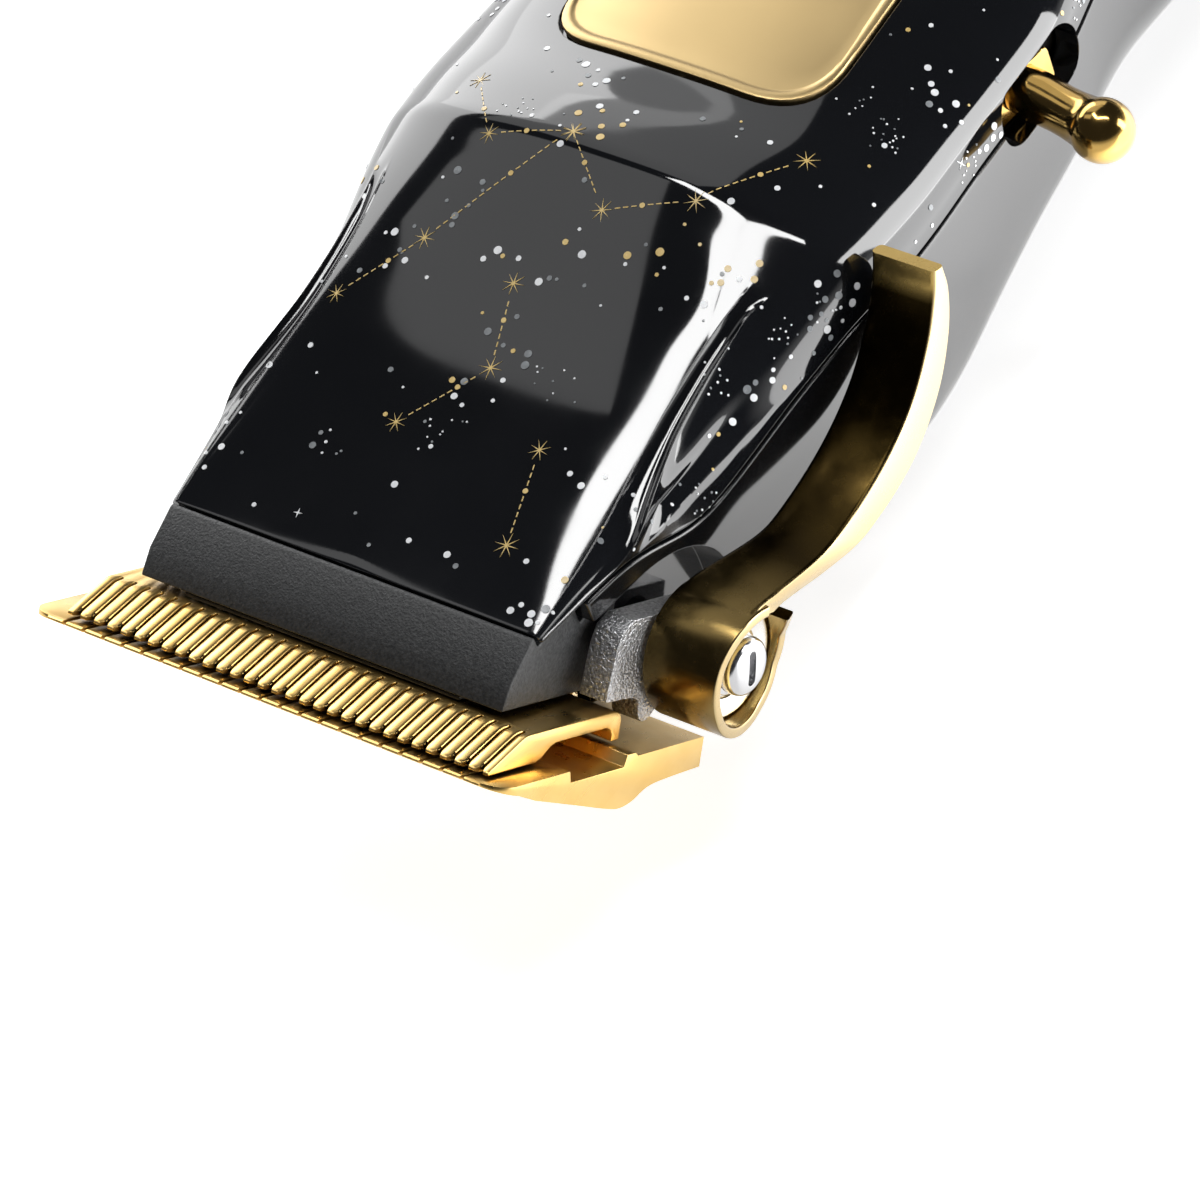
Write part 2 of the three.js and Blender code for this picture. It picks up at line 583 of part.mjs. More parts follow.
// The lever is one strip: it wraps round the hub from a free end at the rear, then leaves
// the top of the hub as a thumb arm that sweeps back and up.
function makeLever() {
  const arm = new THREE.Shape();
  arm.moveTo(PIVOT.y - 2.5, PIVOT.z + 4.6);
  arm.lineTo(PIVOT.y + 0.6, PIVOT.z + HUB_RADIUS);
  arm.splineThru(LEVER_TOP.map(([y, z]) => new THREE.Vector2(y, z)));
  arm.lineTo(53.1, 5.4);
  arm.splineThru(LEVER_UNDERSIDE.map(([y, z]) => new THREE.Vector2(y, z)));
  const strip = prismX(arm, ARM_X, 0.4, 2);
  const drum = bar('x', HUB_X, PIVOT.y, PIVOT.z, HUB_RADIUS, HUB_RADIUS, 36);
  const notch = polygon([
    [PIVOT.y + 3, PIVOT.z + 0.9], [PIVOT.y + 9, PIVOT.z + 1.9],
    [PIVOT.y + 6.5, PIVOT.z + 2.9], [PIVOT.y + 3, PIVOT.z + 2.6],
  ]);
  const rimCut = box([0, FAR], [-FAR, FAR], [-FAR, FAR])
    .rotate([0, 0, RIM_TILT])
    .rotate([-20, 0, 0])
    .translate([HUB_X[1] - 1.1, PIVOT.y, PIVOT.z]);
  return drum
    .subtract(rimCut)
    .add(strip)
    .subtract(bar('x', [HUB_FLOOR, FAR], PIVOT.y, PIVOT.z, HUB_RADIUS - 0.9, HUB_RADIUS - 0.9, 32))
    .subtract(prismX(notch, [HUB_FLOOR, FAR]))
    .subtract(bar('x', [20, FAR], PIVOT.y, PIVOT.z, 1.75));
}

function makeLeverShaft() {
  const sin = Math.sin(BLADE_PITCH);
  const cos = Math.cos(BLADE_PITCH);
  const crank = { y: PIVOT.y + CRANK_RADIUS * sin, z: PIVOT.z + CRANK_RADIUS * cos };
  return bar('x', [12, 13.7], PIVOT.y, PIVOT.z, 2.6)
    .add(bar('x', [12, 13.7], crank.y, crank.z, 1.6, 1.6, 16))
    .add(bar('x', [13, 21.2], PIVOT.y, PIVOT.z, 2.0))
    .add(bar('x', [21, 23.0], PIVOT.y, PIVOT.z, 1.45))
    .add(bar('x', [9.7, 12.5], crank.y, crank.z, 0.9, 0.9, 16))
    .subtract(bar('x', [16, FAR], PIVOT.y, PIVOT.z, 1.0, 1.0, 16));
}

function makeWasher({ x, radius, bore }) {
  return bar('x', x, PIVOT.y, PIVOT.z, radius, radius, 28)
    .subtract(bar('x', [x[0] - 1, x[1] + 1], PIVOT.y, PIVOT.z, bore, bore, 16));
}

function makeLeverScrew() {
  const { headX, head, shankX, shank } = LEVER_SCREW;
  const slotX = [headX[1] - 0.7, headX[1] + 1];
  return bar('x', headX, PIVOT.y, PIVOT.z, ...head, 24)
    .add(bar('x', shankX, PIVOT.y, PIVOT.z, shank, shank, 12))
    .subtract(box(slotX, [PIVOT.y - 3, PIVOT.y + 3], [PIVOT.z - 0.35, PIVOT.z + 0.35]));
}

// ---------------------------------------------------------------- switch

function tilted(body) {
  const angle = -THREE.MathUtils.radToDeg(SWITCH.tilt);
  return body
    .translate([-SWITCH.pivotX, -SWITCH.y, 0])
    .rotate([0, 0, angle])
    .translate([SWITCH.pivotX, SWITCH.y, 0]);
}

function makeSwitchToggle() {
  const [y, z] = [SWITCH.y, SWITCH.z];
  const sphere = new THREE.SphereGeometry(TOGGLE.ball, 14, 9).translate(TOGGLE.ballX, y, z);
  const body = bar('x', TOGGLE.stemX, y, z, TOGGLE.stem, TOGGLE.stem, 16)
    .add(plateX(TOGGLE.flangeX, y, z, 3.4, 1.9, 0.6))
    .add(bar('x', TOGGLE.neckX, y, z, ...TOGGLE.neck, 16))
    .add(solid(sphere));
  return tilted(body);
}

function makeSwitchGasket() {
  return plateX([18.95, 19.95], SWITCH.y, SWITCH.z, 6.4, 2.5, 2.3)
    .subtract(plateX([18, 21], SWITCH.y, SWITCH.z, 4.0, 1.7, 1.5));
}

// ---------------------------------------------------------------- drive, battery, board

function makeMotorCan() {
  return bar('y', MOTOR.y, 0, MOTOR.z, MOTOR.radius, MOTOR.radius, 32)
    .subtract(box([-FAR, FAR], [0, FAR * 2], [MOTOR.z + 10.5, FAR]))
    .add(bar('y', [37.9, 41], 0, MOTOR.z, 4, 4, 24))
    .subtract(bar('y', [37, 67], 0, MOTOR.z, SHAFT_BORE, SHAFT_BORE, 16));
}

function makeMotorEndCap() {
  return bar('y', [66.3, 68.4], 0, MOTOR.z, 11, 10.2, 28)
    .add(box([-6.5, -4.5], [68, 71], [MOTOR.z - 0.4, MOTOR.z + 0.4]))
    .add(box([4.5, 6.5], [68, 71], [MOTOR.z - 0.4, MOTOR.z + 0.4]));
}

function makeMotorMount() {
  return box([-10.8, 10.8], [38.1, 39.7], [-18, 2])
    .subtract(bar('y', [37, 41], 0, MOTOR.z, 4.4, 4.4, 24));
}

function makeEccentricCam() {
  const angle = Math.asin(STROKE_AT_REST / STROKE);
  const x = STROKE * Math.sin(angle);
  const z = MOTOR.z + STROKE * Math.cos(angle);
  return bar('y', [34.3, 37.3], 0, MOTOR.z, 4.2, 4.2, 28)
    .add(bar('y', [PIN_Y, 34.6], x, z, 1.0, 1.0, 16))
    .subtract(bar('y', [35, 38], 0, MOTOR.z, SHAFT_BORE, SHAFT_BORE, 16));
}

function makeBatteryCradle() {
  const [y0, y1] = [BATTERY.y[0] + 10, BATTERY.y[1] - 4];
  return box([-9.5, 9.5], [y0, y1], [-16.2, BATTERY.z - 1])
    .subtract(bar('y', [y0 - 1, y1 + 1], 0, BATTERY.z, BATTERY.radius + GAP, undefined, 32));
}

function makeBatteryCell() {
  return bar('y', [BATTERY.y[0] + 1.2, BATTERY.y[1]], 0, BATTERY.z, BATTERY.radius, undefined, 32)
    .add(bar('y', [BATTERY.y[0], BATTERY.y[0] + 2], 0, BATTERY.z, 3, 3, 20));
}

function makeBatteryContact(y) {
  return box([-4, 4], [y, y + 0.4], [BATTERY.z - 3.5, BATTERY.z + 5]);
}

// ---------------------------------------------------------------- assembly

const SWITCH_BODY_X = [15.4, 18.3];
const BOARD_X = [13.9, 15.1];

const handleParts = [
  mesh('lower_shell', makeLowerShell(), 'gloss_black'),
  mesh('lid', makeLid(), 'gloss_black'),
  mesh('rear_cap', makeRearCap(), 'gloss_black'),
  mesh('badge_plate', makeBadge(), 'gold_satin'),
  mesh('nose_cover', makeNoseCover(), 'matte_charcoal'),
  mesh('charging_socket', makeChargingSocket(), 'steel'),
  mesh('charge_light', makeChargeLight(), 'lens'),
  mesh('taper_lever', makeLever(), 'gold_polished'),
  mesh('lever_shaft', makeLeverShaft(), 'steel'),
  mesh('lever_dish_washer', makeWasher(DISH), 'steel'),
  mesh('lever_washer', makeWasher(WASHER), 'steel'),
  mesh('lever_screw', makeLeverScrew(), 'steel'),
  mesh('switch_toggle', makeSwitchToggle(), 'gold_polished'),
  mesh('switch_gasket', makeSwitchGasket(), 'black_rubber'),
  mesh('switch_body', plateX(SWITCH_BODY_X, SWITCH.y, SWITCH.z, 4.6, 3.2, 0.3), 'grey_plastic'),
  mesh('circuit_board', box(BOARD_X, [58, 91], [-12, 2.6]), 'board_green'),
  mesh('motor_can', makeMotorCan(), 'steel'),
  mesh('motor_end_cap', makeMotorEndCap(), 'grey_plastic'),
  mesh('motor_mount', makeMotorMount(), 'grey_plastic'),
  mesh('motor_shaft', bar('y', [35.3, 64], 0, MOTOR.z, 1.1, 1.1, 16), 'steel'),
  mesh('eccentric_cam', makeEccentricCam(), 'grey_plastic'),
  mesh('battery_cell', makeBatteryCell(), 'battery_wrap'),
  mesh('battery_cradle', makeBatteryCradle(), 'grey_plastic'),
  mesh('battery_contact_front', makeBatteryContact(BATTERY.y[0] - 0.8), 'steel'),
  mesh('battery_contact_rear', makeBatteryContact(BATTERY.y[1] + 0.4), 'steel'),
];
for (const [place, x, y] of screwPlaces()) {
  handleParts.push(mesh(`housing_screw_${place}`, makeHousingScrew(x, y), 'steel'));
}

const bladeSet = new THREE.Group();
bladeSet.rotation.x = -BLADE_PITCH;
bladeSet.add(
  mesh('fixed_blade', makeFixedBlade(), 'gold_blade'),
  mesh('moving_blade', makeMovingBlade(), 'gold_blade'),
  mesh('blade_screw_left', makeBladeScrew(-BLADE_SCREW_X), 'steel'),
  mesh('blade_screw_right', makeBladeScrew(BLADE_SCREW_X), 'steel'),
  mesh('cutter_guide', makeCutterGuide(), 'matte_charcoal'),
  mesh('drive_yoke', makeDriveYoke(), 'grey_plastic'),
  mesh('tension_spring', makeTensionSpring(), 'steel'),
  mesh('lever_bracket', makeLeverBracket(), 'cast_metal'),
);

const clipper = new THREE.Group();
clipper.position.set(0, -REST_Y, -REST_Z);
clipper.add(...handleParts, bladeSet);

export default clipper;
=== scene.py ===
"""The looks of a hair clipper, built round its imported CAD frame.

Lengths are in millimetres in the handle frame that the CAD source uses: +X towards the taper
lever, +Y along the handle to its rear, +Z to the lid, origin on the fixed blade's tooth line.
row() turns them into metres in the row frame. Materials and the studio are in metres.
"""
import json
import random
from math import atan2, cos, hypot, pi, radians, sin

import bmesh
import bpy
import numpy as np
from mathutils import Matrix, Vector
from mathutils.bvhtree import BVHTree

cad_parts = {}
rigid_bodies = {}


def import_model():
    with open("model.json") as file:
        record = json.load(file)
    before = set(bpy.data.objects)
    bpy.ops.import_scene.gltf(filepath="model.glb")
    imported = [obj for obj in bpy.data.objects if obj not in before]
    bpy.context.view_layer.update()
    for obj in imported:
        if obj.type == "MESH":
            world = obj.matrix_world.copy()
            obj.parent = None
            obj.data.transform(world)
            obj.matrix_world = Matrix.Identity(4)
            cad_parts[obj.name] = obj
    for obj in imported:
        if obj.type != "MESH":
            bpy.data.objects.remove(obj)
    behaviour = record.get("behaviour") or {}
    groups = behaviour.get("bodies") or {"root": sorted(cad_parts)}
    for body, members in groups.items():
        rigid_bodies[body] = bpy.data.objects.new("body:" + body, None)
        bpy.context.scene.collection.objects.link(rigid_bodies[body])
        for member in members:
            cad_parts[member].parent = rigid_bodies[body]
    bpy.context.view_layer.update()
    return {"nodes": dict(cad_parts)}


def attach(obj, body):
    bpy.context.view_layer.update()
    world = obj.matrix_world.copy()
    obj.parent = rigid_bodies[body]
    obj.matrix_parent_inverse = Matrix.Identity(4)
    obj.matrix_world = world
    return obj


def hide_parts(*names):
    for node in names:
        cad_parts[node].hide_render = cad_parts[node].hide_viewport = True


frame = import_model()

# ---- Dimensions, from the CAD

REST = np.array((0.0, -54.0, 26.0))
PITCH_COS, PITCH_SIN = cos(radians(39)), sin(radians(39))
GAP = 0.3
LID_FRONT_Y, SHELL_FRONT_Y, CAP_Y, REAR_Y = 12.76, 17.5, 157.0, 165.0
LID_WALL, SHELL_WALL = 1.9, 2.2
BELLY_Z = -26.0
BELLY_POWER = 3.0
FAR = 60.0

# Place along the handle, half-width, crown height, belly depth and crown power.
STATIONS = np.array((
    (13, 18.2, 1.05, 15.5, 8), (18, 19, 2, 17.6, 5), (22, 19.7, 2.75, 19.2, 4.2),
    (26, 20.4, 3.5, 20.6, 3.8), (30, 20.9, 4.3, 22, 3.6), (33, 21.2, 5, 23.1, 3.4),
    (36, 21.5, 5.8, 24.1, 3.2), (40, 21.9, 6.9, 25.3, 3), (45, 22.6, 8.7, 26.6, 2.7),
    (50, 23.2, 10.22, 27.3, 2.6), (55, 23.7, 9.75, 27.3, 2.6), (60, 23.7, 8.8, 26.4, 2.6),
    (66, 23.3, 8.4, 24, 2.6), (73, 23.2, 8.2, 20.8, 2.6), (80, 23.1, 8.1, 18.7, 2.6),
    (85, 21.7, 8.2, 18.5, 2.6), (91, 20.4, 8.3, 19.4, 2.6), (98, 19.8, 8.5, 21.1, 2.6),
    (112, 19.4, 9, 23.6, 2.6), (128, 20, 9.4, 25.5, 2.6), (143, 20.8, 9.5, 26.7, 2.6),
    (152, 21, 9.3, 26.9, 2.6), (157, 20.9, 9.1, 26.3, 2.6), (165, 20.6, 8.8, 25.4, 2.6),
))
PARTING = np.array((
    (0, 0), (22, 0), (25, -0.9), (28, -2.3), (31, -2.6), (36, -1.9), (42, -0.8), (48, 0), (170, 0),
))
TAIL_Y, TAIL_ROUND = 155.0, 0.42
STATION_BLUR, PARTING_BLUR = 2.0, 1.2
RIDGE_Y, RIDGE_BLUR, RIDGE_REACH = 50.0, 0.45, 3.2

# Two creases bound the side scoop. The upper one is given by its width, the lower by its height.
UPPER_CREASE = np.array((
    (13, 17.66), (19.4, 17.74), (23.4, 17.6), (28, 17.16), (33, 16.85), (38, 16.9), (41.2, 17.1),
    (43.5, 17.46), (50, 18.3), (60, 18.8), (80, 18.4), (165, 15.5),
))
LOWER_CREASE = np.array((
    (13, 0.45), (21.5, 0.5), (23.2, 1.1), (25.6, 2), (28.7, 2.8), (32, 3.55), (35, 4.15),
    (38, 4.75), (40.8, 5.3), (43.1, 5.85), (48, 6), (60, 5), (80, 4.4), (165, 3.4),
))
CREASE_BLUR = 0.9
SCOOP_DEPTH, GROOVE_DEPTH = 1.25, 0.5
BEAD_HEIGHT, BEAD_WIDTH = 0.1, 0.22

BADGE = {"y": (59.9, 104.0), "front": 12.9, "rear": 11.0, "corner": 5.5}
SWITCH_Y, SWITCH_Z, SWITCH_PIVOT_X, SWITCH_TILT = 75.5, 0.1, 17.0, radians(10)
PIVOT = np.array((0.0, 22.9, -9.8))
HUB_RADIUS, PIVOT_BORE = 5.6, 2.3
BLADE_HALF, BLADE_DEPTH = 23.25, 25.8
BLADE_SCREW_X, BLADE_SCREW_U = 12.7, 22
STROKE_AT_REST = 0.545


# ---- Frames, meshes and solids

def row(points):
    """Handle-frame millimetres to row-frame metres."""
    return (np.asarray(points, float) + REST) / 1000


def from_blade(points):
    """Blade-frame points (x, rearward in the blade plane, towards the lid) to the handle frame."""
    x, u, n = np.asarray(points, float).reshape(-1, 3).T
    return np.stack((x, u * PITCH_COS + n * PITCH_SIN, n * PITCH_COS - u * PITCH_SIN), 1)


def along(axis, p0=0.0, q0=0.0, blade=False):
    """A placing of (p, q, height): the height goes on an axis, p and q about a centre."""
    order = {"x": (2, 0, 1), "y": (0, 2, 1), "z": (0, 1, 2)}[axis]

    def place(p, q, height):
        parts = np.broadcast_arrays(p + p0, q + q0, height)
        points = np.stack([parts[i] for i in order], 1)
        return from_blade(points) if blade else points

    return place


ALONG_X, ALONG_Y, ALONG_Z = along("x"), along("y"), along("z")
BLADE_X, BLADE_N = along("x", blade=True), along("z", blade=True)
ABOUT_PIVOT = along("x", PIVOT[1], PIVOT[2])
HOUSING_SCREWS = [along("z", *place) for place in (
    (-14.6, 35.9), (14.6, 35.9), (-11, 150.5), (11, 150.5),
)]


def linked(name, data):
    obj = bpy.data.objects.new(name, data)
    bpy.context.scene.collection.objects.link(obj)
    return obj


def closed_object(name, points, faces):
    """An object with every face turned outwards and the doubled vertices at seams merged."""
    mesh = bpy.data.meshes.new(name)
    mesh.from_pydata(row(points).tolist(), [], faces)
    mesh.update()
    bm = bmesh.new()
    bm.from_mesh(mesh)
    bmesh.ops.remove_doubles(bm, verts=bm.verts, dist=1e-6)
    bmesh.ops.recalc_face_normals(bm, faces=bm.faces)
    bm.to_mesh(mesh)
    bm.free()
    return linked(name, mesh)


def rounded(obj, width, segments, angle):
    """Rounds every edge that turns more than an angle."""
    bm = bmesh.new()
    bm.from_mesh(obj.data)
    edges = [
        e for e in bm.edges
        if len(e.link_faces) == 2 and e.calc_face_angle() > radians(angle)
    ]
    bmesh.ops.bevel(
        bm, geom=edges, offset=width / 1000, segments=segments, profile=0.5,
        affect="EDGES", clamp_overlap=True,
    )
    bm.to_mesh(obj.data)
    bm.free()
    return obj


def boolean(obj, others, operation):
    """Applies other closed objects one by one, which are used up."""
    for other in others:
        modifier = obj.modifiers.new("cut", "BOOLEAN")
        modifier.operation = operation
        modifier.solver = "MANIFOLD"
        modifier.object = other
        graph = bpy.context.evaluated_depsgraph_get()
        made = bpy.data.meshes.new_from_object(obj.evaluated_get(graph))
        obj.modifiers.clear()
        used = (obj.data, other.data)
        obj.data = made
        bpy.data.objects.remove(other)
        bpy.data.batch_remove(used)
    return obj


def cut(obj, *others):
    return boolean(obj, others, "DIFFERENCE")


def joined(obj, *others):
    return boolean(obj, others, "UNION")


def dressed(obj, material, sharp):
    obj.data.materials.clear()
    obj.data.materials.append(materials[material])
    obj.data.shade_smooth()
    obj.data.set_sharp_from_angle(angle=radians(sharp))


def ring_faces(count, rings, base=0, caps=True):
    """Quads between rings of points that follow on from a base, with a face over each end."""
    faces = []
    for i in range(rings - 1):
        a, b = base + i * count, base + (i + 1) * count
        for k in range(count):
            m = (k + 1) % count
            faces.append((a + k, a + m, b + m, b + k))
    if caps:
        faces.append(tuple(range(base, base + count))[::-1])
        faces.append(tuple(range(b, b + count)))
    return faces


def loft(rings, name="tool", caps=True):
    """A skin over equal rings of points."""
    faces = ring_faces(len(rings[0]), len(rings), caps=caps)
    return closed_object(name, np.concatenate(rings), faces)


def prism(outline, ends, place, name="tool"):
    p, q = np.asarray(outline, float).T
    return loft([place(p, q, h) for h in ends], name)


def rectangle(ps, qs):
    return [(ps[0], qs[0]), (ps[1], qs[0]), (ps[1], qs[1]), (ps[0], qs[1])]


def box(ps, qs, heights, place=ALONG_Z):
    return prism(rectangle(ps, qs), heights, place)


def blade_box(us, ns, xs=(-FAR, FAR)):
    return box(us, ns, xs, BLADE_X)


def quarter(count):
    return np.linspace(0, pi / 2, count)


def circle(radius, steps):
    a = np.arange(steps) * 2 * pi / steps
    return np.stack((radius * np.cos(a), radius * np.sin(a)), 1)


def turned(profile, steps, place, name="tool"):
    """A lathed solid. The profile lists (height, radius)."""
    return loft([place(*circle(radius, steps).T, height) for height, radius in profile], name)


def rod(radius, start, stop, steps, place):
    return turned(((start, radius), (stop, radius)), steps, place)


def turned_ring(profile, steps, place, name):
    """A lathed ring. The closed profile lists (height, radius)."""
    h, r = np.asarray(profile, float).T
    rings = [place(r * cos(a), r * sin(a), h) for a in np.arange(steps) * 2 * pi / steps]
    return loft(rings + rings[:1], name, caps=False)


def round_outline(half_p, half_q, corner, steps=6, centre=(0, 0)):
    return np.array([
        (centre[0] + sp * (half_p - corner) + corner * cos(a),
         centre[1] + sq * (half_q - corner) + corner * sin(a))
        for sp, sq, start in ((1, -1, -90), (1, 1, 0), (-1, 1, 90), (-1, -1, 180))
        for a in np.radians(start + 90 * np.arange(steps + 1) / steps)
    ])


def rotated(outline, turn):
    c, s = cos(turn), sin(turn)
    return [(p * c - q * s, p * s + q * c) for p, q in outline]


def curve_through(points, steps):
    """A Catmull-Rom curve through points, with its ends kept."""
    p = np.asarray(points, float)
    p = np.vstack((2 * p[0] - p[1], p, 2 * p[-1] - p[-2]))
    out = []
    for i in range(1, len(p) - 2):
        for t in np.arange(steps) / steps:
            a, b, c, d = p[i - 1:i + 3]
            out.append(0.5 * (
                2 * b + (c - a) * t + (2 * a - 5 * b + 4 * c - d) * t * t
                + (3 * b - a - 3 * c + d) * t ** 3
            ))
    return np.array(out + [p[-2]])


# ---- Housing form

def blurred_line(places, values, sigma):
    """A table of values as a smooth line: straight lines blurred along the handle."""
    step, reach = 0.25, 8.0
    grid = np.arange(places[0] - 2 * reach, places[-1] + 2 * reach, step)
    line = np.interp(grid, places, values)
    slope = (values[1] - values[0]) / (places[1] - places[0])
    before = grid < places[0]
    line[before] = values[0] + (grid[before] - places[0]) * slope
    window = np.arange(-reach, reach + step / 2, step)
    weights = np.exp(-0.5 * (window / sigma) ** 2)
    padded = np.pad(line, len(window) // 2, mode="edge")
    return grid, np.convolve(padded, weights / weights.sum(), mode="valid")


STATION_LINES = [
    blurred_line(STATIONS[:, 0], STATIONS[:, i], STATION_BLUR) for i in (1, 2, 3, 4)
]
RIDGE_LINE = blurred_line(STATIONS[:, 0], STATIONS[:, 2], RIDGE_BLUR)
PARTING_LINE = blurred_line(*PARTING.T, PARTING_BLUR)
UPPER_LINE = blurred_line(*UPPER_CREASE.T, CREASE_BLUR)
LOWER_LINE = blurred_line(*LOWER_CREASE.T, CREASE_BLUR)


def section_at(y):
    """Half-width, crown height, belly depth and crown power at places along the handle."""
    y = np.asarray(y, float)
    width, top, bottom, power = (np.interp(y, *line) for line in STATION_LINES)
    near = np.exp(-(((y - RIDGE_Y) / RIDGE_REACH) ** 4))
    top = top + near * (np.interp(y, *RIDGE_LINE) - top)
    k = np.clip((y - TAIL_Y) / (REAR_Y - TAIL_Y), 0, 1)
    tail = 1 - TAIL_ROUND * (1 - np.sqrt(1 - k * k))
    return width * tail, top * tail, bottom * tail, power


def skin(y, angle, inset=0.0):
    """A point of the housing's form at a place along the handle and an angle round it."""
    width, top, bottom, power = section_at(y)
    c, s = np.cos(angle), np.sin(angle)
    power = np.where(s >= 0, power, BELLY_POWER)
    height = np.where(s >= 0, top, bottom)
    r = (np.abs(c) ** power + np.abs(s) ** power) ** (-1 / power)
    return np.stack((
        (width - inset) * r * c, np.broadcast_to(y, np.shape(r * c)), (height - inset) * r * s,
    ), -1)


def skin_normal(y, angle):
    step = 1e-3
    along_handle = skin(y + 10 * step, angle) - skin(y - 10 * step, angle)
    across = skin(y, angle + step) - skin(y, angle - step)
    normal = np.cross(across, along_handle)
    normal /= np.linalg.norm(normal, axis=-1, keepdims=True)
    place = skin(y, angle) * (1, 0, 1)
    return normal * np.sign((normal * place).sum(-1, keepdims=True))


def angle_at_height(y, z):
    """The angle on the lever's side at which the form crosses a height."""
    _, top, bottom, power = section_at(y)
    up = z >= 0
    v = np.clip(np.where(up, z / top, -z / bottom), 0, 0.9999)
    power = np.where(up, power, BELLY_POWER)
    return np.where(up, 1, -1) * np.arctan2(v, (1 - v ** power) ** (1 / power))


def angle_at_width(y, x):
    width, _, _, power = section_at(y)
    c = np.clip(x / width, 0, 0.9999)
    return np.arctan2((1 - c ** power) ** (1 / power), c)


def crown(x, y, inset):
    width, top, _, power = section_at(y)
    ratio = np.clip(np.abs(x) / (width - inset), 0, 1)
    return (top - inset) * (1 - ratio ** power) ** (1 / power)


def blended(start, stop, y):
    """0 before start, 1 after stop, smooth between."""
    t = np.clip((y - start) / (stop - start), 0, 1)
    return t * t * (3 - 2 * t)


def eased(count):
    """Fractions from 0 to 1, closer together at both ends."""
    return 0.5 - 0.5 * np.cos(np.linspace(0, pi, count))


def lid_half(y, start):
    """Points of the lid's skin from its edge to the middle, with the side scoop carved in."""
    low = max(float(angle_at_height(y, np.interp(y, *LOWER_LINE))), start + 0.004)
    high = max(float(angle_at_width(y, np.interp(y, *UPPER_LINE))), low + 0.01)
    scoop, groove, crest = eased(26), eased(15), np.linspace(0, 1, 42)
    angles = np.concatenate((
        start + (low - start) * scoop, low + (high - low) * groove[1:],
        high + (pi / 2 - high) * (0.25 * crest + 0.75 * crest ** 1.8)[1:],
    ))
    reach = skin(y, np.array((start, low, high)))
    lower_span, upper_span = np.linalg.norm(np.diff(reach, axis=0), axis=1)
    n = len(scoop)
    in_scoop, in_groove = slice(0, n), slice(n - 1, n + len(groove) - 1)

    depth = np.zeros(len(angles))
    scoop_here = SCOOP_DEPTH * blended(21.5, 27.5, y) * (1 - blended(34, 50, y))
    scoop_here *= min(1.0, lower_span / 4)
    groove_here = GROOVE_DEPTH * min(1.0, upper_span / 1.8) * (1 - blended(40, 45, y))
    depth[in_groove] = groove_here * np.sin(pi * groove) ** 0.8
    depth[in_scoop] = scoop_here * np.sin(pi * (1 - scoop) ** 0.8) ** 0.9

    def bead_at(distance, share):
        fade = 1 - blended(42, 45.5, y)
        return BEAD_HEIGHT * fade * np.exp(-((distance / BEAD_WIDTH) ** 2)) * share

    bead = np.zeros(len(angles))
    lower_share = blended(21, 24, y)
    bead[in_scoop] = bead_at((1 - scoop) * lower_span, lower_share)
    for distance, share in ((groove * upper_span, lower_share), ((1 - groove) * upper_span, 1)):
        bead[in_groove] = np.maximum(bead[in_groove], bead_at(distance, share))
    return skin(y, angles) + skin_normal(y, angles) * (bead - depth)[:, None]


def shell_half(y, start):
    """Points of the lower shell's skin from its edge to the keel."""
    count = 60
    angles = start - (start + pi / 2) * (0.5 * eased(count) + 0.5 * np.linspace(0, 1, count))
    points = skin(y, angles)
    points[:, 2] = np.maximum(points[:, 2], BELLY_Z)
    return points


def half_form(name, rows, side):
    """One half of the housing as a closed solid: side 1 is the lid and -1 the lower shell.

    rows lists (place along the handle, inset), and the skin's edge rolls in over a lip.
    """
    lip = 0.25
    rings = []
    arc = np.linspace(pi / 2, 0, 5)[:-1]
    for y, inset in rows:
        edge = float(np.interp(y, *PARTING_LINE)) + side * GAP / 2
        start = float(angle_at_height(y, edge + side * lip))
        half = lid_half(y, start) if side > 0 else shell_half(y, start)
        first = half[0]
        rolled = np.stack((
            first[0] - lip * (1 - np.cos(arc)), np.full(len(arc), y),
            first[2] - side * lip * np.sin(arc),
        ), 1)
        right = np.vstack((rolled, half))
        if inset:
            middle = np.array((0, y, first[2]))
            away = np.maximum(np.linalg.norm(right - middle, axis=1, keepdims=True), 1e-6)
            right = middle + (right - middle) * (1 - inset / away)
            right[:, 1] = y
            right[: len(arc), 2] = rolled[:, 2]
        rings.append(np.vstack((right, right[::-1][1:] * (-1, 1, 1))))
    return loft(rings, name)


def lip_rows(start, stop, radius, places):
    arc = quarter(5)
    front = [(start + radius * (1 - cos(a)), radius * (1 - sin(a))) for a in arc]
    rear = [(stop - (y - start), inset) for y, inset in front][::-1]
    middle = [(y, 0.0) for y in places if start + radius + 0.2 < y < stop - radius - 0.2]
    return front + middle + rear


def cavity_form(start, stop, inset, low=-FAR):
    """A coarse solid that hollows out a half of the housing."""
    angles = np.linspace(0, 2 * pi, 48, endpoint=False)
    rings = []
    for y in np.linspace(start, stop, 40):
        ring = skin(y, angles, inset)
        ring[:, 2] = np.maximum(ring[:, 2], low)
        rings.append(ring)
    return loft(rings)


def badge_outline(grow):
    """The plate's outline: a tapered rectangle with rounded corners, in short steps."""
    (y0, y1), corner = BADGE["y"], BADGE["corner"] + grow
    y0, y1 = y0 - grow, y1 + grow
    front, rear = BADGE["front"] + grow, BADGE["rear"] + grow
    half = [
        (1 - t) ** 2 * a + 2 * t * (1 - t) * b + t * t * c
        for a, b, c in np.array((
            ((front - corner, y0), (front, y0), (front, y0 + corner)),
            ((rear, y1 - corner), (rear, y1), (rear - corner, y1)),
        )) for t in np.linspace(0, 1, 10)
    ]
    points = np.array(half + [p * (-1, 1) for p in half[::-1]])
    dense = []
    for a, b in zip(points, np.roll(points, -1, axis=0)):
        count = max(1, int(np.linalg.norm(b - a) / 1.2))
        dense += [a + (b - a) * i / count for i in range(count)]
    return np.array(dense)


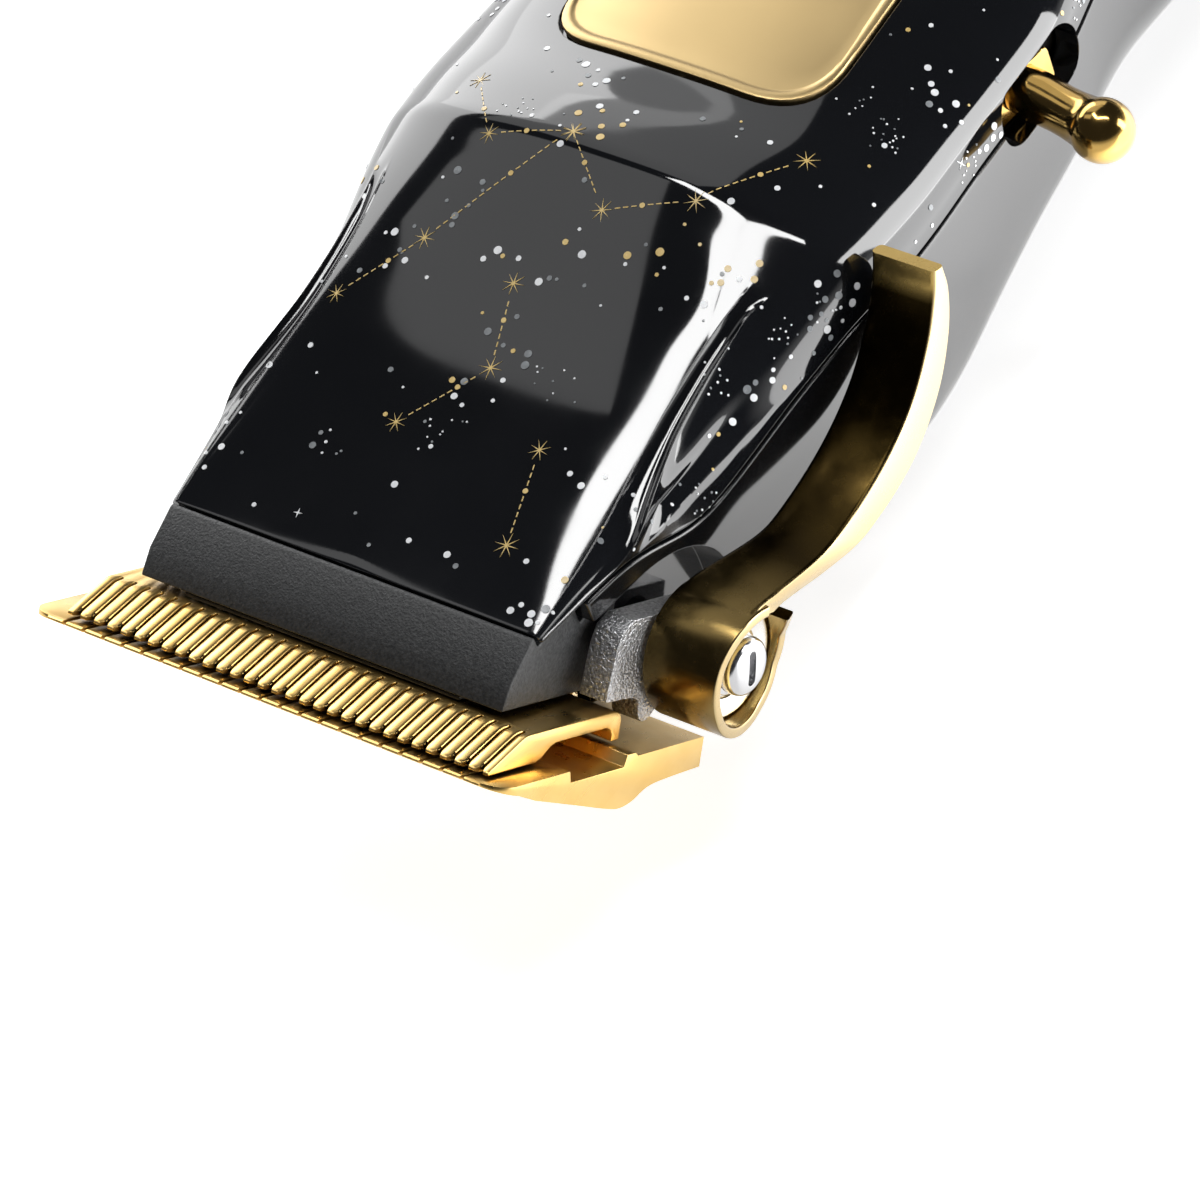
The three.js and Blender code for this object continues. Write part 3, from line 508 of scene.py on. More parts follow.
def crown_patch(grow, floor_inset, rim, name="tool"):
    """A solid that follows the crown inside the badge's outline. rim lists (distance in, inset)."""
    shares = (0.02, 0.2, 0.4, 0.6, 0.8, 0.93)
    outer = badge_outline(grow)
    centre = np.array((0.0, sum(BADGE["y"]) / 2))
    reach = np.linalg.norm(outer - centre, axis=1, keepdims=True)

    def over(points, inset):
        x, y = points.T
        return np.stack((x, y, crown(x, y, inset)), 1)

    rings = [over(centre + (outer - centre) * share, floor_inset) for share in shares]
    rings.append(over(outer, floor_inset))
    for distance, inset in rim:
        flat = outer * (1 - distance / reach) + centre * (distance / reach)
        rings.append(over(flat, inset))
    rings += [over(centre + (flat - centre) * share, inset) for share in shares[::-1]]
    return loft(rings, name)


def lever_notch(x, grow):
    room = HUB_RADIUS + 2 + grow
    arc = np.linspace(pi / 2, 0, 14)
    outline = [(0, PIVOT[2] + room)]
    outline += [(PIVOT[1] + room * cos(a), PIVOT[2] + room * sin(a)) for a in arc]
    outline += [(PIVOT[1] + room, -FAR), (0, -FAR)]
    return prism(outline, (x, FAR), ALONG_X)


def switch_slot():
    return prism(round_outline(5.7, 2.6, 2.4, 8, (SWITCH_Y, SWITCH_Z)), (17.5, FAR), ALONG_X)


# ---- Housing pieces

def make_lid():
    places = np.concatenate((
        np.arange(13, 20, 0.7), np.arange(20, 51, 0.36), np.arange(51, 157, 1.0),
    ))
    lid = half_form("lid_skin", lip_rows(LID_FRONT_Y, CAP_Y - GAP / 2, 0.22, places), 1)
    lid = cut(lid, cavity_form(27, CAP_Y - 2, LID_WALL))
    for place in HOUSING_SCREWS:
        lid = joined(lid, rod(3, -11.5, 2.5, 32, place))
        lid = cut(lid, rod(1.45, -12, -0.5, 24, place))
    return cut(lid, crown_patch(GAP, 0.65, ((0, -3), (1, -3))), switch_slot())


def shell_posts():
    """The four screw posts of the lower shell, cut off inside its skin."""
    posts = [rod(3.4, BELLY_Z - 1, -12, 32, place) for place in HOUSING_SCREWS]
    inside = cavity_form(14, CAP_Y - 1, 0.5, BELLY_Z + 0.5)
    return boolean(joined(*posts), (inside,), "INTERSECT")


def make_shell():
    places = np.concatenate((np.arange(13, 60, 0.8), np.arange(60, 157, 1.2)))
    shell = half_form("shell_skin", lip_rows(SHELL_FRONT_Y, CAP_Y - GAP / 2, 0.25, places), -1)
    shell = cut(shell, cut(
        cavity_form(SHELL_FRONT_Y, CAP_Y - 2, SHELL_WALL, BELLY_Z + SHELL_WALL),
        blade_box((-FAR, 21.1), (-FAR, FAR)),
        blade_box((-FAR, BLADE_DEPTH + 2.6), (-FAR, 2.6)),
        lever_notch(15.3, 1.7),
    ))
    shell = joined(shell, shell_posts())
    mouth = ((BELLY_Z - 1, 3.0), (BELLY_Z, 3.0), (BELLY_Z + 0.3, 2.7), (-17, 2.7))
    for place in HOUSING_SCREWS:
        shell = cut(shell, turned(mouth, 40, place), rod(1.5, BELLY_Z - 1, -10, 24, place))
    ledge = box((-FAR * 2, FAR * 2), (-FAR, FAR * 2), (-2.2, FAR * 2))
    return cut(
        shell,
        cut(blade_box((-FAR, 19.5), (-FAR, FAR)), ledge),
        blade_box((-FAR, BLADE_DEPTH + GAP), (-FAR, -0.15)),
        lever_notch(17.45, 0),
        blade_box((17.5, 22.5), (2.6, 5.4), (-13, 13)),
        rod(PIVOT_BORE, 10, FAR, 32, ABOUT_PIVOT),
        switch_slot(),
    )


def make_rear_cap():
    start, lip, edge = CAP_Y + GAP / 2, 1.1, 0.25
    arc = quarter(6)
    rows = [(start + edge * (1 - cos(a)), edge * (1 - sin(a))) for a in arc]
    rows += [(y, 0.0) for y in np.arange(start + 0.6, REAR_Y - lip - 0.1, 0.35)]
    rows += [(REAR_Y - lip * (1 - sin(a)), lip * (1 - cos(a))) for a in arc]
    angles = np.linspace(0, 2 * pi, 128, endpoint=False)
    rings = []
    for y, inset in rows:
        ring = skin(min(y, REAR_Y - 0.02), angles, inset)
        ring[:, 1] = y
        ring[:, 2] = np.maximum(ring[:, 2], BELLY_Z + inset)
        rings.append(ring)
    inlet = prism(round_outline(4.95, 2.05, 2.0, 8, (0, -4)), (CAP_Y + 2.5, REAR_Y + 1), ALONG_Y)
    lamp = rod(1.5, REAR_Y - 2.5, REAR_Y + 1, 32, along("y", 0, 2.2))
    return cut(loft(rings, "rear_cap_skin"), inlet, lamp)


def make_badge():
    rim = (
        (0.0, 0.0), (0.0, -0.2), (0.06, -0.33), (0.2, -0.39), (0.75, -0.39), (0.95, -0.32),
        (1.1, -0.24), (1.3, -0.22),
    )
    return crown_patch(0.0, 0.35, rim, "badge_plate_gold")


# ---- Nose, blades and bracket

def make_nose():
    def at(u, n):
        return (u * PITCH_COS + n * PITCH_SIN, n * PITCH_COS - u * PITCH_SIN)

    outline = [
        at(6.45, 3.13), at(19.2, 3.13), ((19.2 - 2.5 * PITCH_SIN) / PITCH_COS, -2.5), (17.2, -2.5),
        (17.2, -0.2), (12.6, -0.2), (12.6, 0.85), at(8.95, 8.45), at(7.05, 5.35),
    ]
    nose = rounded(prism(outline, (-17.75, 17.75), ALONG_X, "nose_block"), 0.28, 3, 20)
    recess = blade_box((7.5, FAR), (-FAR, 4.4), (-14.3, 14.3))
    return cut(nose, recess, blade_box((10.4, FAR), (-FAR, 6.3), (-14.3, 14.3)))


def tooth_cutters(centre, count, pitch, half, root, top_at, flare, floor):
    """The gaps of a comb as one mesh of separate closed bodies.

    top_at(u) is the height of the teeth's face. The gaps flare there, which rounds the teeth,
    and open to a mouth at the tips.
    """
    mouth, tip = flare["mouth"], flare["tip"]
    stations = (
        (-1.0, mouth, 0.0), (0.0, mouth, 0.0), (0.12, 0.75 * mouth + 0.25 * half, 0.2),
        (0.4, 0.25 * mouth + 0.75 * half, 0.6), (0.8, half, 0.9), (1.4, half, 1.0),
        (root - 1.1, half, 1.0), (root - 0.6, half * 1.3, 1.1), (root - 0.2, half * 1.3, 0.9),
        (root, half * 0.7, 0.5),
    )
    vertices, faces = [], []
    for i in range(count - 1):
        x = centre + (i - (count - 2) / 2) * pitch
        base = len(vertices)
        for u, width, share in stations:
            u_here = u + tip if u < 1.0 else u
            top = top_at(max(u_here, tip))
            f, d = flare["width"] * share, flare["depth"] * share
            side = [
                (width, floor), (width, top - d - 0.02),
                (width + 0.08 * f, top - 0.62 * d - 0.01), (width + 0.29 * f, top - 0.29 * d),
                (width + 0.62 * f, top - 0.07 * d), (width + f, top + 0.02),
                (width + 1.05 * f, top + 0.8),
            ]
            side = [(min(w, pitch / 2 - 0.012), n) for w, n in side]
            vertices += [(x + w, u_here, n) for w, n in side]
            vertices += [(x - w, u_here, n) for w, n in side[::-1]]
        faces += ring_faces(2 * len(side), len(stations), base)
    return closed_object("slots", from_blade(vertices), faces)


def corner_cutter(side):
    """What the rounded outer end of a wide corner tooth leaves away."""
    radius = 2.1
    arc = [
        (BLADE_HALF - radius + radius * sin(a), radius - 1.9 * cos(a))
        for a in quarter(12)
    ]
    outline = [(BLADE_HALF + 1, -1), (BLADE_HALF - radius, -1), *arc, (BLADE_HALF + 1, arc[-1][1])]
    return prism([(side * x, u) for x, u in outline], (-6, 2), BLADE_N)


def make_fixed_blade():
    under = curve_through((
        (4.6, -1.75), (9.6, -3.02), (14.2, -4.2), (15.9, -4.45), (17.4, -4.15), (18.6, -3.55),
        (19.9, -3.2), (22.5, -3.02),
    ), 5)
    outline = [
        (0, -0.42), (0.25, -0.52), (2.35, -0.95), *under.tolist(), (BLADE_DEPTH, -2.9),
        (BLADE_DEPTH, -0.45), (17.3, -0.45), (16.9, -0.15), (15.9, -0.15), (15.6, -1.1),
        (8.9, -1.1), (8.6, -0.15), (0.2, -0.15), (0, -0.25),
    ]
    blade = prism(outline, (-BLADE_HALF, BLADE_HALF), BLADE_X, "fixed_comb")
    blade = rounded(cut(blade, corner_cutter(-1), corner_cutter(1)), 0.13, 2, 30)
    flare = {"width": 0.1, "depth": 0.1, "tip": 0.0, "mouth": 0.2}
    slots = tooth_cutters(0, 22, 1.95, 0.17, 6.4, lambda u: -0.15, flare, -6.0)
    holes = [
        rod(1.6, -6, 2, 32, along("z", x, BLADE_SCREW_U, blade=True))
        for x in (-BLADE_SCREW_X, BLADE_SCREW_X)
    ]
    return cut(blade, slots, joined(*holes))


def make_moving_blade():
    heel = curve_through(((16.0, 2.57), (16.7, 2.5), (17.15, 2.25), (17.38, 1.8), (17.4, 1.4)), 4)
    crest = curve_through(((4.4, 2.13), (5.0, 2.42), (5.45, 2.55), (6.0, 2.57)), 4)
    outline = [
        (1.0, 0.15), (6.9, 0.15), (7.6, 0.42), (8.6, 1.15), (9.2, 1.35), (15.6, 1.35), (16.2, 1.1),
        (16.4, 0.7), (16.4, 0.15), (17.4, 0.15), *heel[::-1].tolist(), *crest[::-1].tolist(),
        (1.0, 0.42),
    ]
    ends = (-20.62 + STROKE_AT_REST, 20.62 + STROKE_AT_REST)
    blade = rounded(prism(outline, ends, BLADE_X, "cutter_plate"), 0.12, 2, 30)

    def top_at(u):
        return float(np.interp(u, (1.0, 4.4, 5.0, 5.45, 6.0), (0.42, 2.13, 2.42, 2.55, 2.57)))

    flare = {"width": 0.33, "depth": 0.17, "tip": 1.0, "mouth": 0.42}
    return cut(blade, tooth_cutters(STROKE_AT_REST, 31, 1.36, 0.12, 6.15, top_at, flare, -1.0))


def make_guide():
    outline = [
        (6.75, 2.72), (8.0, 2.72), (8.15, 2.87), (12.6, 2.87), (12.6, 3.45), (8.1, 3.45),
        (7.95, 3.02), (6.75, 3.02),
    ]
    plate = prism(outline, (-13.5, 13.5), BLADE_X, "guide_plate")
    crank = PIVOT[1] * PITCH_COS - PIVOT[2] * PITCH_SIN
    slot, prong, top = 1.15, 1.3, 10.9
    a, b, c, d = crank - slot - prong, crank - slot, crank + slot, crank + slot + prong
    fork = [
        (11.5, 2.87), (d, 2.87), (d, top), (c, top), (c, 4.6), (b, 4.6), (b, top), (a, top),
        (a, 3.45), (11.5, 3.45),
    ]
    return rounded(joined(plate, prism(fork, (9.4, 11.6), BLADE_X)), 0.08, 2, 40)


def make_bracket():
    hook = curve_through((
        (26.5, 2.6), (22.2, 2.6), (21.6, 1.9), (20.9, 1.25), (20.2, 1.1), (19.6, 1.45),
        (19.35, 2.2), (19.1, 3.0), (18.0, 3.35), (14.9, 3.5),
    ), 4)
    outline = [
        (14.9, 3.5), (15.3, 7.6), (15.75, 9.0), (17.0, 9.8), (27.6, 9.8), (28.2, 4.0),
        (26.5, 2.6), *hook[1:-1].tolist(),
    ]
    block = rounded(prism(outline, (18.6, 21.2), BLADE_X, "bracket_block"), 0.5, 4, 30)
    ceiling = box((0, FAR), (-FAR, FAR), (-2.5, FAR))
    rear_wall = box((0, FAR), (PIVOT[1] + HUB_RADIUS + 1, 2 * FAR), (-FAR, FAR))
    return cut(block, ceiling, rear_wall, rod(PIVOT_BORE, 0, FAR, 32, ABOUT_PIVOT))


# ---- Lever and switch

LEVER_TOP = (
    (22.9, -4.22), (25.4, -4.42), (28, -4.7), (34, -5.1), (40, -4.3), (45, -2.3), (48.8, 0.9),
    (51.0, 3.9), (51.9, 5.8),
)
LEVER_UNDERSIDE = (
    (26.55, -6.55), (27.5, -6.7), (29.2, -7.1), (32, -7.6), (37.5, -8.1), (43.5, -7.2),
    (48.3, -4.4), (51.4, -0.7), (52.9, 2.8), (53.1, 5.4),
)
# How far out the wrapped strip reaches at angles round the hub.
WRAP_EDGE = np.array((
    (60, 29.0), (90, 28.9), (130, 28.5), (180, 28.3), (225, 27.7), (270, 26.9), (310, 26.5),
    (340, 26.9), (368, 28.2),
))
WRAP_INSIDE = 4.85


def soft_rectangle(x0, x1, radius):
    """Corner points of a rounded rectangle, as (x, share of the thickness, radius offset)."""
    ring = []
    for x, share, start in ((x1, 1, 0), (x0, 1, 90), (x0, 0, 180), (x1, 0, 270)):
        inward = -1 if x == x1 else 1
        down = -1 if share else 1
        ring += [
            (x + inward * radius + radius * cos(a), share, down * radius + radius * sin(a))
            for a in np.radians(start + 22.5 * np.arange(5))
        ]
    return ring


def resampled(points, count):
    points = curve_through(points, 12)
    length = np.concatenate(((0,), np.cumsum(np.linalg.norm(np.diff(points, axis=0), axis=1))))
    at = np.linspace(0, length[-1], count)
    return np.stack([np.interp(at, length, points[:, i]) for i in (0, 1)], 1)


def lever_arm():
    count = 72
    top, under = resampled(LEVER_TOP, count), resampled(LEVER_UNDERSIDE, count)
    rings = []
    for k in range(count):
        s = k / (count - 1)
        x0 = 21.6 + 2.4 * blended(0.02, 0.3, s)
        x1 = 28.6 + 1.4 * blended(0.0, 0.3, s)
        thickness = np.linalg.norm(top[k] - under[k])
        direction = (top[k] - under[k]) / thickness
        rings.append([
            (x, *(under[k] + direction * (share * thickness + shift)))
            for x, share, shift in soft_rectangle(x0, x1, min(0.42, 0.42 * thickness))
        ])
    return loft(rings, "lever_arm")


def lever_wrap():
    rings = []
    for angle in np.linspace(WRAP_EDGE[0, 0], WRAP_EDGE[-1, 0], 78):
        outer_x = float(np.interp(angle, *WRAP_EDGE.T))
        inner_x = 21.5 + 4.2 * blended(335, 368, angle) ** 1.5
        a = radians(angle)
        x, share, shift = np.transpose(soft_rectangle(inner_x, outer_x, 0.2))
        r = 4.7 + 0.9 * share + shift
        rings.append(ABOUT_PIVOT(r * cos(a), r * sin(a), x))
    return loft(rings)


def make_lever():
    floor = turned(((21.6, 4.6), (21.8, 4.9), (24.2, 4.9), (24.4, 4.6)), 64, ABOUT_PIVOT)
    return cut(joined(lever_arm(), lever_wrap(), floor), rod(1.75, 20, 26, 32, ABOUT_PIVOT))


def paint_lit_inside(lever):
    # The inside faces of the wrap take a lighter copy of the lever's gold: painted light.
    lever.data.materials.append(materials["lever_gold_painted_lit"])
    pivot = row(PIVOT)
    for face in lever.data.polygons:
        _, y, z = face.center
        if 1000 * hypot(y - pivot[1], z - pivot[2]) < WRAP_INSIDE and face.normal.x < 0.5:
            face.material_index = 1


def make_dish_washer():
    profile = (
        (24.75, 1.25), (25.0, 2.6), (25.3, 3.6), (25.72, 4.4), (25.86, 4.46), (25.84, 4.3),
        (25.52, 3.5), (25.26, 2.6), (25.12, 1.25),
    )
    return turned_ring(profile, 64, ABOUT_PIVOT, "dish_washer")


def make_flat_washer():
    profile = (
        (25.5, 1.25), (25.5, 2.95), (25.56, 3.05), (25.7, 3.05), (25.76, 2.92), (25.78, 2.62),
        (25.84, 2.68), (26.0, 2.68), (26.06, 2.58), (26.06, 1.25),
    )
    return turned_ring(profile, 64, ABOUT_PIVOT, "flat_washer")


def make_pan_screw():
    profile = (
        (17, 0.6), (17.1, 0.7), (26.3, 0.7), (26.3, 2.2), (26.42, 2.34), (27.0, 2.4),
        (27.4, 2.28), (27.64, 1.98), (27.76, 1.5), (27.82, 0.9), (27.84, 0.2),
    )
    slot = rotated(round_outline(1.45, 0.42, 0.4), radians(62))
    screw = turned(profile, 64, ABOUT_PIVOT, "pan_screw")
    return cut(screw, prism(slot, (27.0, 29), ABOUT_PIVOT))


def toggle_place(p, q, height):
    """Points about the toggle's own axis, which leans forward."""
    c, s = cos(SWITCH_TILT), sin(SWITCH_TILT)
    out = height - SWITCH_PIVOT_X
    return np.stack((SWITCH_PIVOT_X + out * c + p * s, SWITCH_Y - out * s + p * c, q + SWITCH_Z), 1)


def make_toggle():
    profile = [
        (18.7, 0.85), (18.85, 1.0), (21.5, 1.0), (21.6, 1.9), (22.0, 2.0), (23.0, 2.08),
        (24.5, 2.02), (26.2, 1.96), (27.4, 2.0), (28.2, 2.08),
    ]
    ball_x, ball = 30.5, 2.62
    profile += [
        (ball_x - ball * cos(a), ball * sin(a))
        for a in np.linspace(0.98, pi - 0.03, 24)
    ]
    toggle = turned(profile, 56, toggle_place, "toggle_body")
    flange = prism(round_outline(3.4, 1.9, 0.7), (21.0, 21.9), toggle_place)
    return joined(toggle, rounded(flange, 0.2, 3, 40))


def make_seal():
    centre = (SWITCH_Y, SWITCH_Z)
    seal = prism(round_outline(6.4, 2.5, 2.3, 10, centre), (18.95, 19.95), ALONG_X, "seal")
    seal = cut(seal, prism(round_outline(4.0, 1.7, 1.5, 10, centre), (18, 21), ALONG_X))
    return rounded(seal, 0.16, 2, 40)


# ---- Star print

PRINT_LOW, PRINT_HIGH = 0.004, 0.045
PRINT_SEED = 41
DASH_STEP, DASH = 0.68, ((-0.22, 0.22), (-0.045, 0.045))
ABOVE = 4.0
# Plan positions of the stars in each chain.
CONSTELLATIONS = (
    ((-14, 53.5), (-9.4, 48.6), (-2.4, 50.8), (3.6, 45.6), (10.6, 48.8), (15.6, 56.4)),
    ((-15.2, 33.2), (-10.2, 39.4), (-2.4, 50.8)),
    ((-3.6, 24.8), (1.4, 31.4), (-0.6, 38.2)),
    ((11.2, 18.6), (9.2, 26.6)),
    ((-17.2, 70), (-15.4, 80.5), (-17.2, 92)),
    ((16.2, 84), (17.4, 96.5), (13.8, 108.5), (4.5, 112)),
    ((-12, 118), (-3, 124.5), (4.5, 112)),
    ((8, 130), (2, 139.5), (-8.5, 143)),
)


class Print:
    """Collects thin closed marks that lie on a surface, one mesh per ink."""

    def __init__(self, obj):
        mesh = obj.data
        faces = [tuple(p.vertices) for p in mesh.polygons]
        self.tree = BVHTree.FromPolygons([v.co for v in mesh.vertices], faces)
        self.inks, self.taken = {}, []

    def free(self, centre, reach):
        """Whether a place is clear of earlier marks, and takes it if so."""
        if any(np.linalg.norm(centre - other) < reach + r + 0.06 for other, r in self.taken):
            return False
        self.taken.append((centre, reach))
        return True

    def depth(self, point, normal):
        """How far below a height over a point the surface lies, or None."""
        start = Vector(row(point + ABOVE * normal))
        hit = self.tree.ray_cast(start, Vector(-normal), 0.0075)
        return None if hit[0] is None else 1000 * hit[3]

    def mark(self, ink, centre, normal, outline, turn=0.0):
        """Lays a star-shaped flat outline on the surface, unless it would cross an edge."""
        across = np.cross(normal, (0, 1, 0))
        across /= np.linalg.norm(across)
        forward = np.cross(normal, across)
        flat = [(0.0, 0.0), *rotated(outline, turn)]
        places = [centre + p * across + q * forward for p, q in flat]
        depths = [self.depth(place, normal) for place in places]
        if None in depths or max(abs(d - depths[0]) for d in depths) > 0.16:
            return
        points, faces = self.inks.setdefault(ink, ([], []))
        base, count = len(points), len(flat)
        for lift in (PRINT_HIGH, PRINT_LOW):
            points += [place + normal * (ABOVE - d + lift) for place, d in zip(places, depths)]
        low = base + count
        for k in range(1, count):
            m = k % (count - 1) + 1
            faces += [(base, base + k, base + m), (low, low + m, low + k)]
            faces.append((base + k, low + k, low + m, base + m))


def round_mark(radius):
    return circle(radius, 14)


def star_mark(rays, radius, waist):
    a = np.arange(2 * rays) * pi / rays
    r = np.where(np.arange(2 * rays) % 2 == 0, radius, waist)
    return np.stack((r * np.cos(a), r * np.sin(a)), 1)


def over_crown(x, y):
    """A place on the form over a plan position, with its normal."""
    angle = float(angle_at_width(y, abs(x)))
    angle = angle if x >= 0 else pi - angle
    return skin(y, angle), skin_normal(y, angle)


def print_constellations(sheet, rng):
    for chain in CONSTELLATIONS:
        for x, y in chain:
            radius = rng.uniform(0.85, 1.1)
            star = star_mark(8, radius, 0.12 * radius)
            place = over_crown(x, y)
            sheet.mark("gold", *place, star, rng.uniform(0, 1))
            sheet.free(place[0], radius)
        for (x0, y0), (x1, y1) in zip(chain, chain[1:]):
            length = hypot(x1 - x0, y1 - y0)
            turn = atan2(y1 - y0, x1 - x0)
            middle = rng.uniform(0.35, 0.65) * length
            for s in np.arange(1.3, length - 1.2, DASH_STEP):
                place = over_crown(x0 + (x1 - x0) * s / length, y0 + (y1 - y0) * s / length)
                if abs(s - middle) < DASH_STEP / 2:
                    sheet.mark("gold", *place, round_mark(0.23))
                else:
                    sheet.mark("gold", *place, rectangle(*DASH), turn)


def print_marks(sheet, rng):
    """Loose dots, groups of dots, groups of fine dots, and a few sparkles."""
    inks = ("white", "white", "white", "grey", "grey", "gold")

    def somewhere():
        y = rng.uniform(13.8, 154)
        low = float(angle_at_height(y, np.interp(y, *PARTING_LINE) + 1.0))
        share = rng.random()
        share = 0.12 * share + 0.88 * share * share * (3 - 2 * share)
        return y, low + (pi - 2 * low) * share

    def put(ink, y, angle, outline, turn=0.0):
        centre = skin(y, angle)
        if sheet.free(centre, float(np.linalg.norm(outline, axis=1).max())):
            sheet.mark(ink, centre, skin_normal(y, angle), outline, turn)

    for _ in range(430):
        radius = rng.choice((0.11, 0.14, 0.17, 0.2, 0.24, 0.3))
        put(rng.choice(inks), *somewhere(), round_mark(radius))
    for _ in range(46):
        y, angle = somewhere()
        ink = rng.choice(inks)
        for _ in range(rng.randint(4, 9)):
            radius = rng.uniform(0.14, 0.36)
            put(ink if rng.random() < 0.75 else rng.choice(inks), y + rng.gauss(0, 1.3),
                angle + rng.gauss(0, 1.3) / 20, round_mark(radius))
    for _ in range(30):
        y, angle = somewhere()
        for _ in range(rng.randint(9, 16)):
            put("white" if rng.random() < 0.6 else "grey", y + rng.gauss(0, 0.9),
                angle + rng.gauss(0, 1.2) / 20, round_mark(rng.uniform(0.07, 0.1)))
    for ink, count, rays, reach, waist in (
        ("white", 22, 4, (0.4, 0.6), 0.08), ("grey", 8, 10, (0.6, 0.8), 0.09),
    ):
        for _ in range(count):
            y, angle = somewhere()
            star = star_mark(rays, rng.uniform(*reach), waist)
            put(ink, y, angle, star, rng.uniform(0, 1.5))


def make_print(lid):
    sheet = Print(lid)
    rng = random.Random(PRINT_SEED)
    print_constellations(sheet, rng)
    print_marks(sheet, rng)
    for ink in ("white", "grey", "gold"):
        points, faces = sheet.inks[ink]
        piece = closed_object(f"lid_print_{ink}", np.array(points), faces)
        dressed(piece, f"ink_{ink}", 30)
        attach(piece, "housing")


# ---- Materials

def emptied(owner):
    """The node tree of a material or a world, with nothing in it."""
    owner.use_nodes = True
    owner.node_tree.nodes.clear()
    return owner.node_tree


def add(tree, kind, inputs, **settings):
    """A new node with its settings. Each input is a value or another node's output."""
    node = tree.nodes.new("ShaderNode" + kind)
    for name, value in settings.items():
        setattr(node, name, value)
    for name, value in inputs.items():
        if isinstance(value, bpy.types.NodeSocket):
            tree.links.new(value, node.inputs[name])
        else:
            node.inputs[name].default_value = value
    return node


def noise(tree, scale, detail, stretch=(1, 1, 1)):
    """Noise over the piece's own coordinates. scale is per metre."""
    place = add(tree, "TexCoord", {}).outputs["Object"]
    place = add(tree, "Mapping", {"Vector": place, "Scale": stretch}).outputs["Vector"]
    texture = add(tree, "TexNoise", {"Vector": place, "Scale": scale, "Detail": detail})
    return texture.outputs["Fac"]


def ranged(tree, value, start=0.3, stop=0.7, low=0.0, high=1.0):
    inputs = {"Value": value, "From Min": start, "From Max": stop, "To Min": low, "To Max": high}
    return add(tree, "MapRange", inputs).outputs["Result"]


def mixed(tree, factor, first, second):
    """A colour between two, each a colour or another node's output."""
    first, second = ((*c, 1) if isinstance(c, tuple) else c for c in (first, second))
    node = add(tree, "Mix", {"Factor": factor, 6: first, 7: second}, data_type="RGBA")
    return node.outputs[2]


def coordinate(tree, space, axis):
    place = add(tree, "TexCoord", {}).outputs[space]
    return add(tree, "SeparateXYZ", {"Vector": place}).outputs[axis]


def placed(tree, axis, start, stop, high=1.0):
    """0 up to one place along an axis of the piece, and a value from another on."""
    return ranged(tree, coordinate(tree, "Object", axis), start, stop, 0.0, high)


def worn_edges(tree):
    turn = add(tree, "NewGeometry", {}).outputs["Pointiness"]
    return ranged(tree, turn, 0.52, 0.6)


# Mask for the lever's hub, which gets a lighter gold over the dark base: painted light.
def hub(tree):
    return placed(tree, "Y", -0.024, -0.031)


# Mask for the lever's tip, which gets a lighter gold: painted highlight.
def tip(tree):
    return placed(tree, "Z", 0.0293, 0.0304)


def painted_side_highlight(tree):
    """1 on the faces that look across the handle or down, which get a lighter gold over the dark
    base as a painted highlight.
    """
    normal = add(tree, "NewGeometry", {}).outputs["Normal"]
    axes = add(tree, "SeparateXYZ", {"Vector": normal})
    across = ranged(tree, axes.outputs["X"], 0.55, 0.8)
    below = ranged(tree, axes.outputs["Z"], -0.45, -0.8)
    return add(tree, "Math", {0: across, 1: below}, operation="MAXIMUM").outputs["Value"]


def painted_gap_shade(tree):
    """1 deep in narrow gaps, 0 on open surfaces: where shade is painted into the colour."""
    air = add(tree, "AmbientOcclusion", {"Distance": 0.0025}, samples=4).outputs["AO"]
    return ranged(tree, air, 0.6, 0.15)


def table_glow(tree):
    beside = placed(tree, "X", 0.02, 0.06, 4.5)
    behind = placed(tree, "Y", -0.035, 0.0)
    glow = add(tree, "Math", {0: beside, 1: behind, 2: 0.75}, operation="MULTIPLY_ADD")
    return glow.outputs["Value"]


def finish(name, dark, light, metallic, roughness, patch, grain, brush=(1, 1, 1), edge=0.0,
           ior=1.5, tints=(), glow=None):
    """A material of two near colours in soft patches, with uneven roughness and fine relief.

    patch is per metre, grain lists (per metre, depth) and tints lists (mask, colour).
    """
    material = bpy.data.materials.new(name)
    tree = emptied(material)
    colour = mixed(tree, ranged(tree, noise(tree, patch, 4)), dark, light)
    for mask, tint in tints:
        colour = mixed(tree, mask(tree), colour, tint)
    smear = ranged(tree, noise(tree, 4 * patch, 5, brush), 0.3, 0.7, *roughness)
    inputs = {"Base Color": colour, "Metallic": metallic, "Roughness": smear, "IOR": ior}
    if edge:
        inputs["Normal"] = add(tree, "Bevel", {"Radius": edge}, samples=4).outputs["Normal"]
    for scale, depth in grain:
        bump = {"Height": noise(tree, scale, 2, brush), "Strength": 1, "Distance": depth}
        if "Normal" in inputs:
            bump["Normal"] = inputs["Normal"]
        inputs["Normal"] = add(tree, "Bump", bump).outputs["Normal"]
    if glow:
        inputs |= {"Emission Color": (1, 1, 1, 1), "Emission Strength": glow(tree)}
    shader = add(tree, "BsdfPrincipled", inputs)
    add(tree, "OutputMaterial", {"Surface": shader.outputs["BSDF"]})
    return material


def grey(value):
    return (value, value, value)


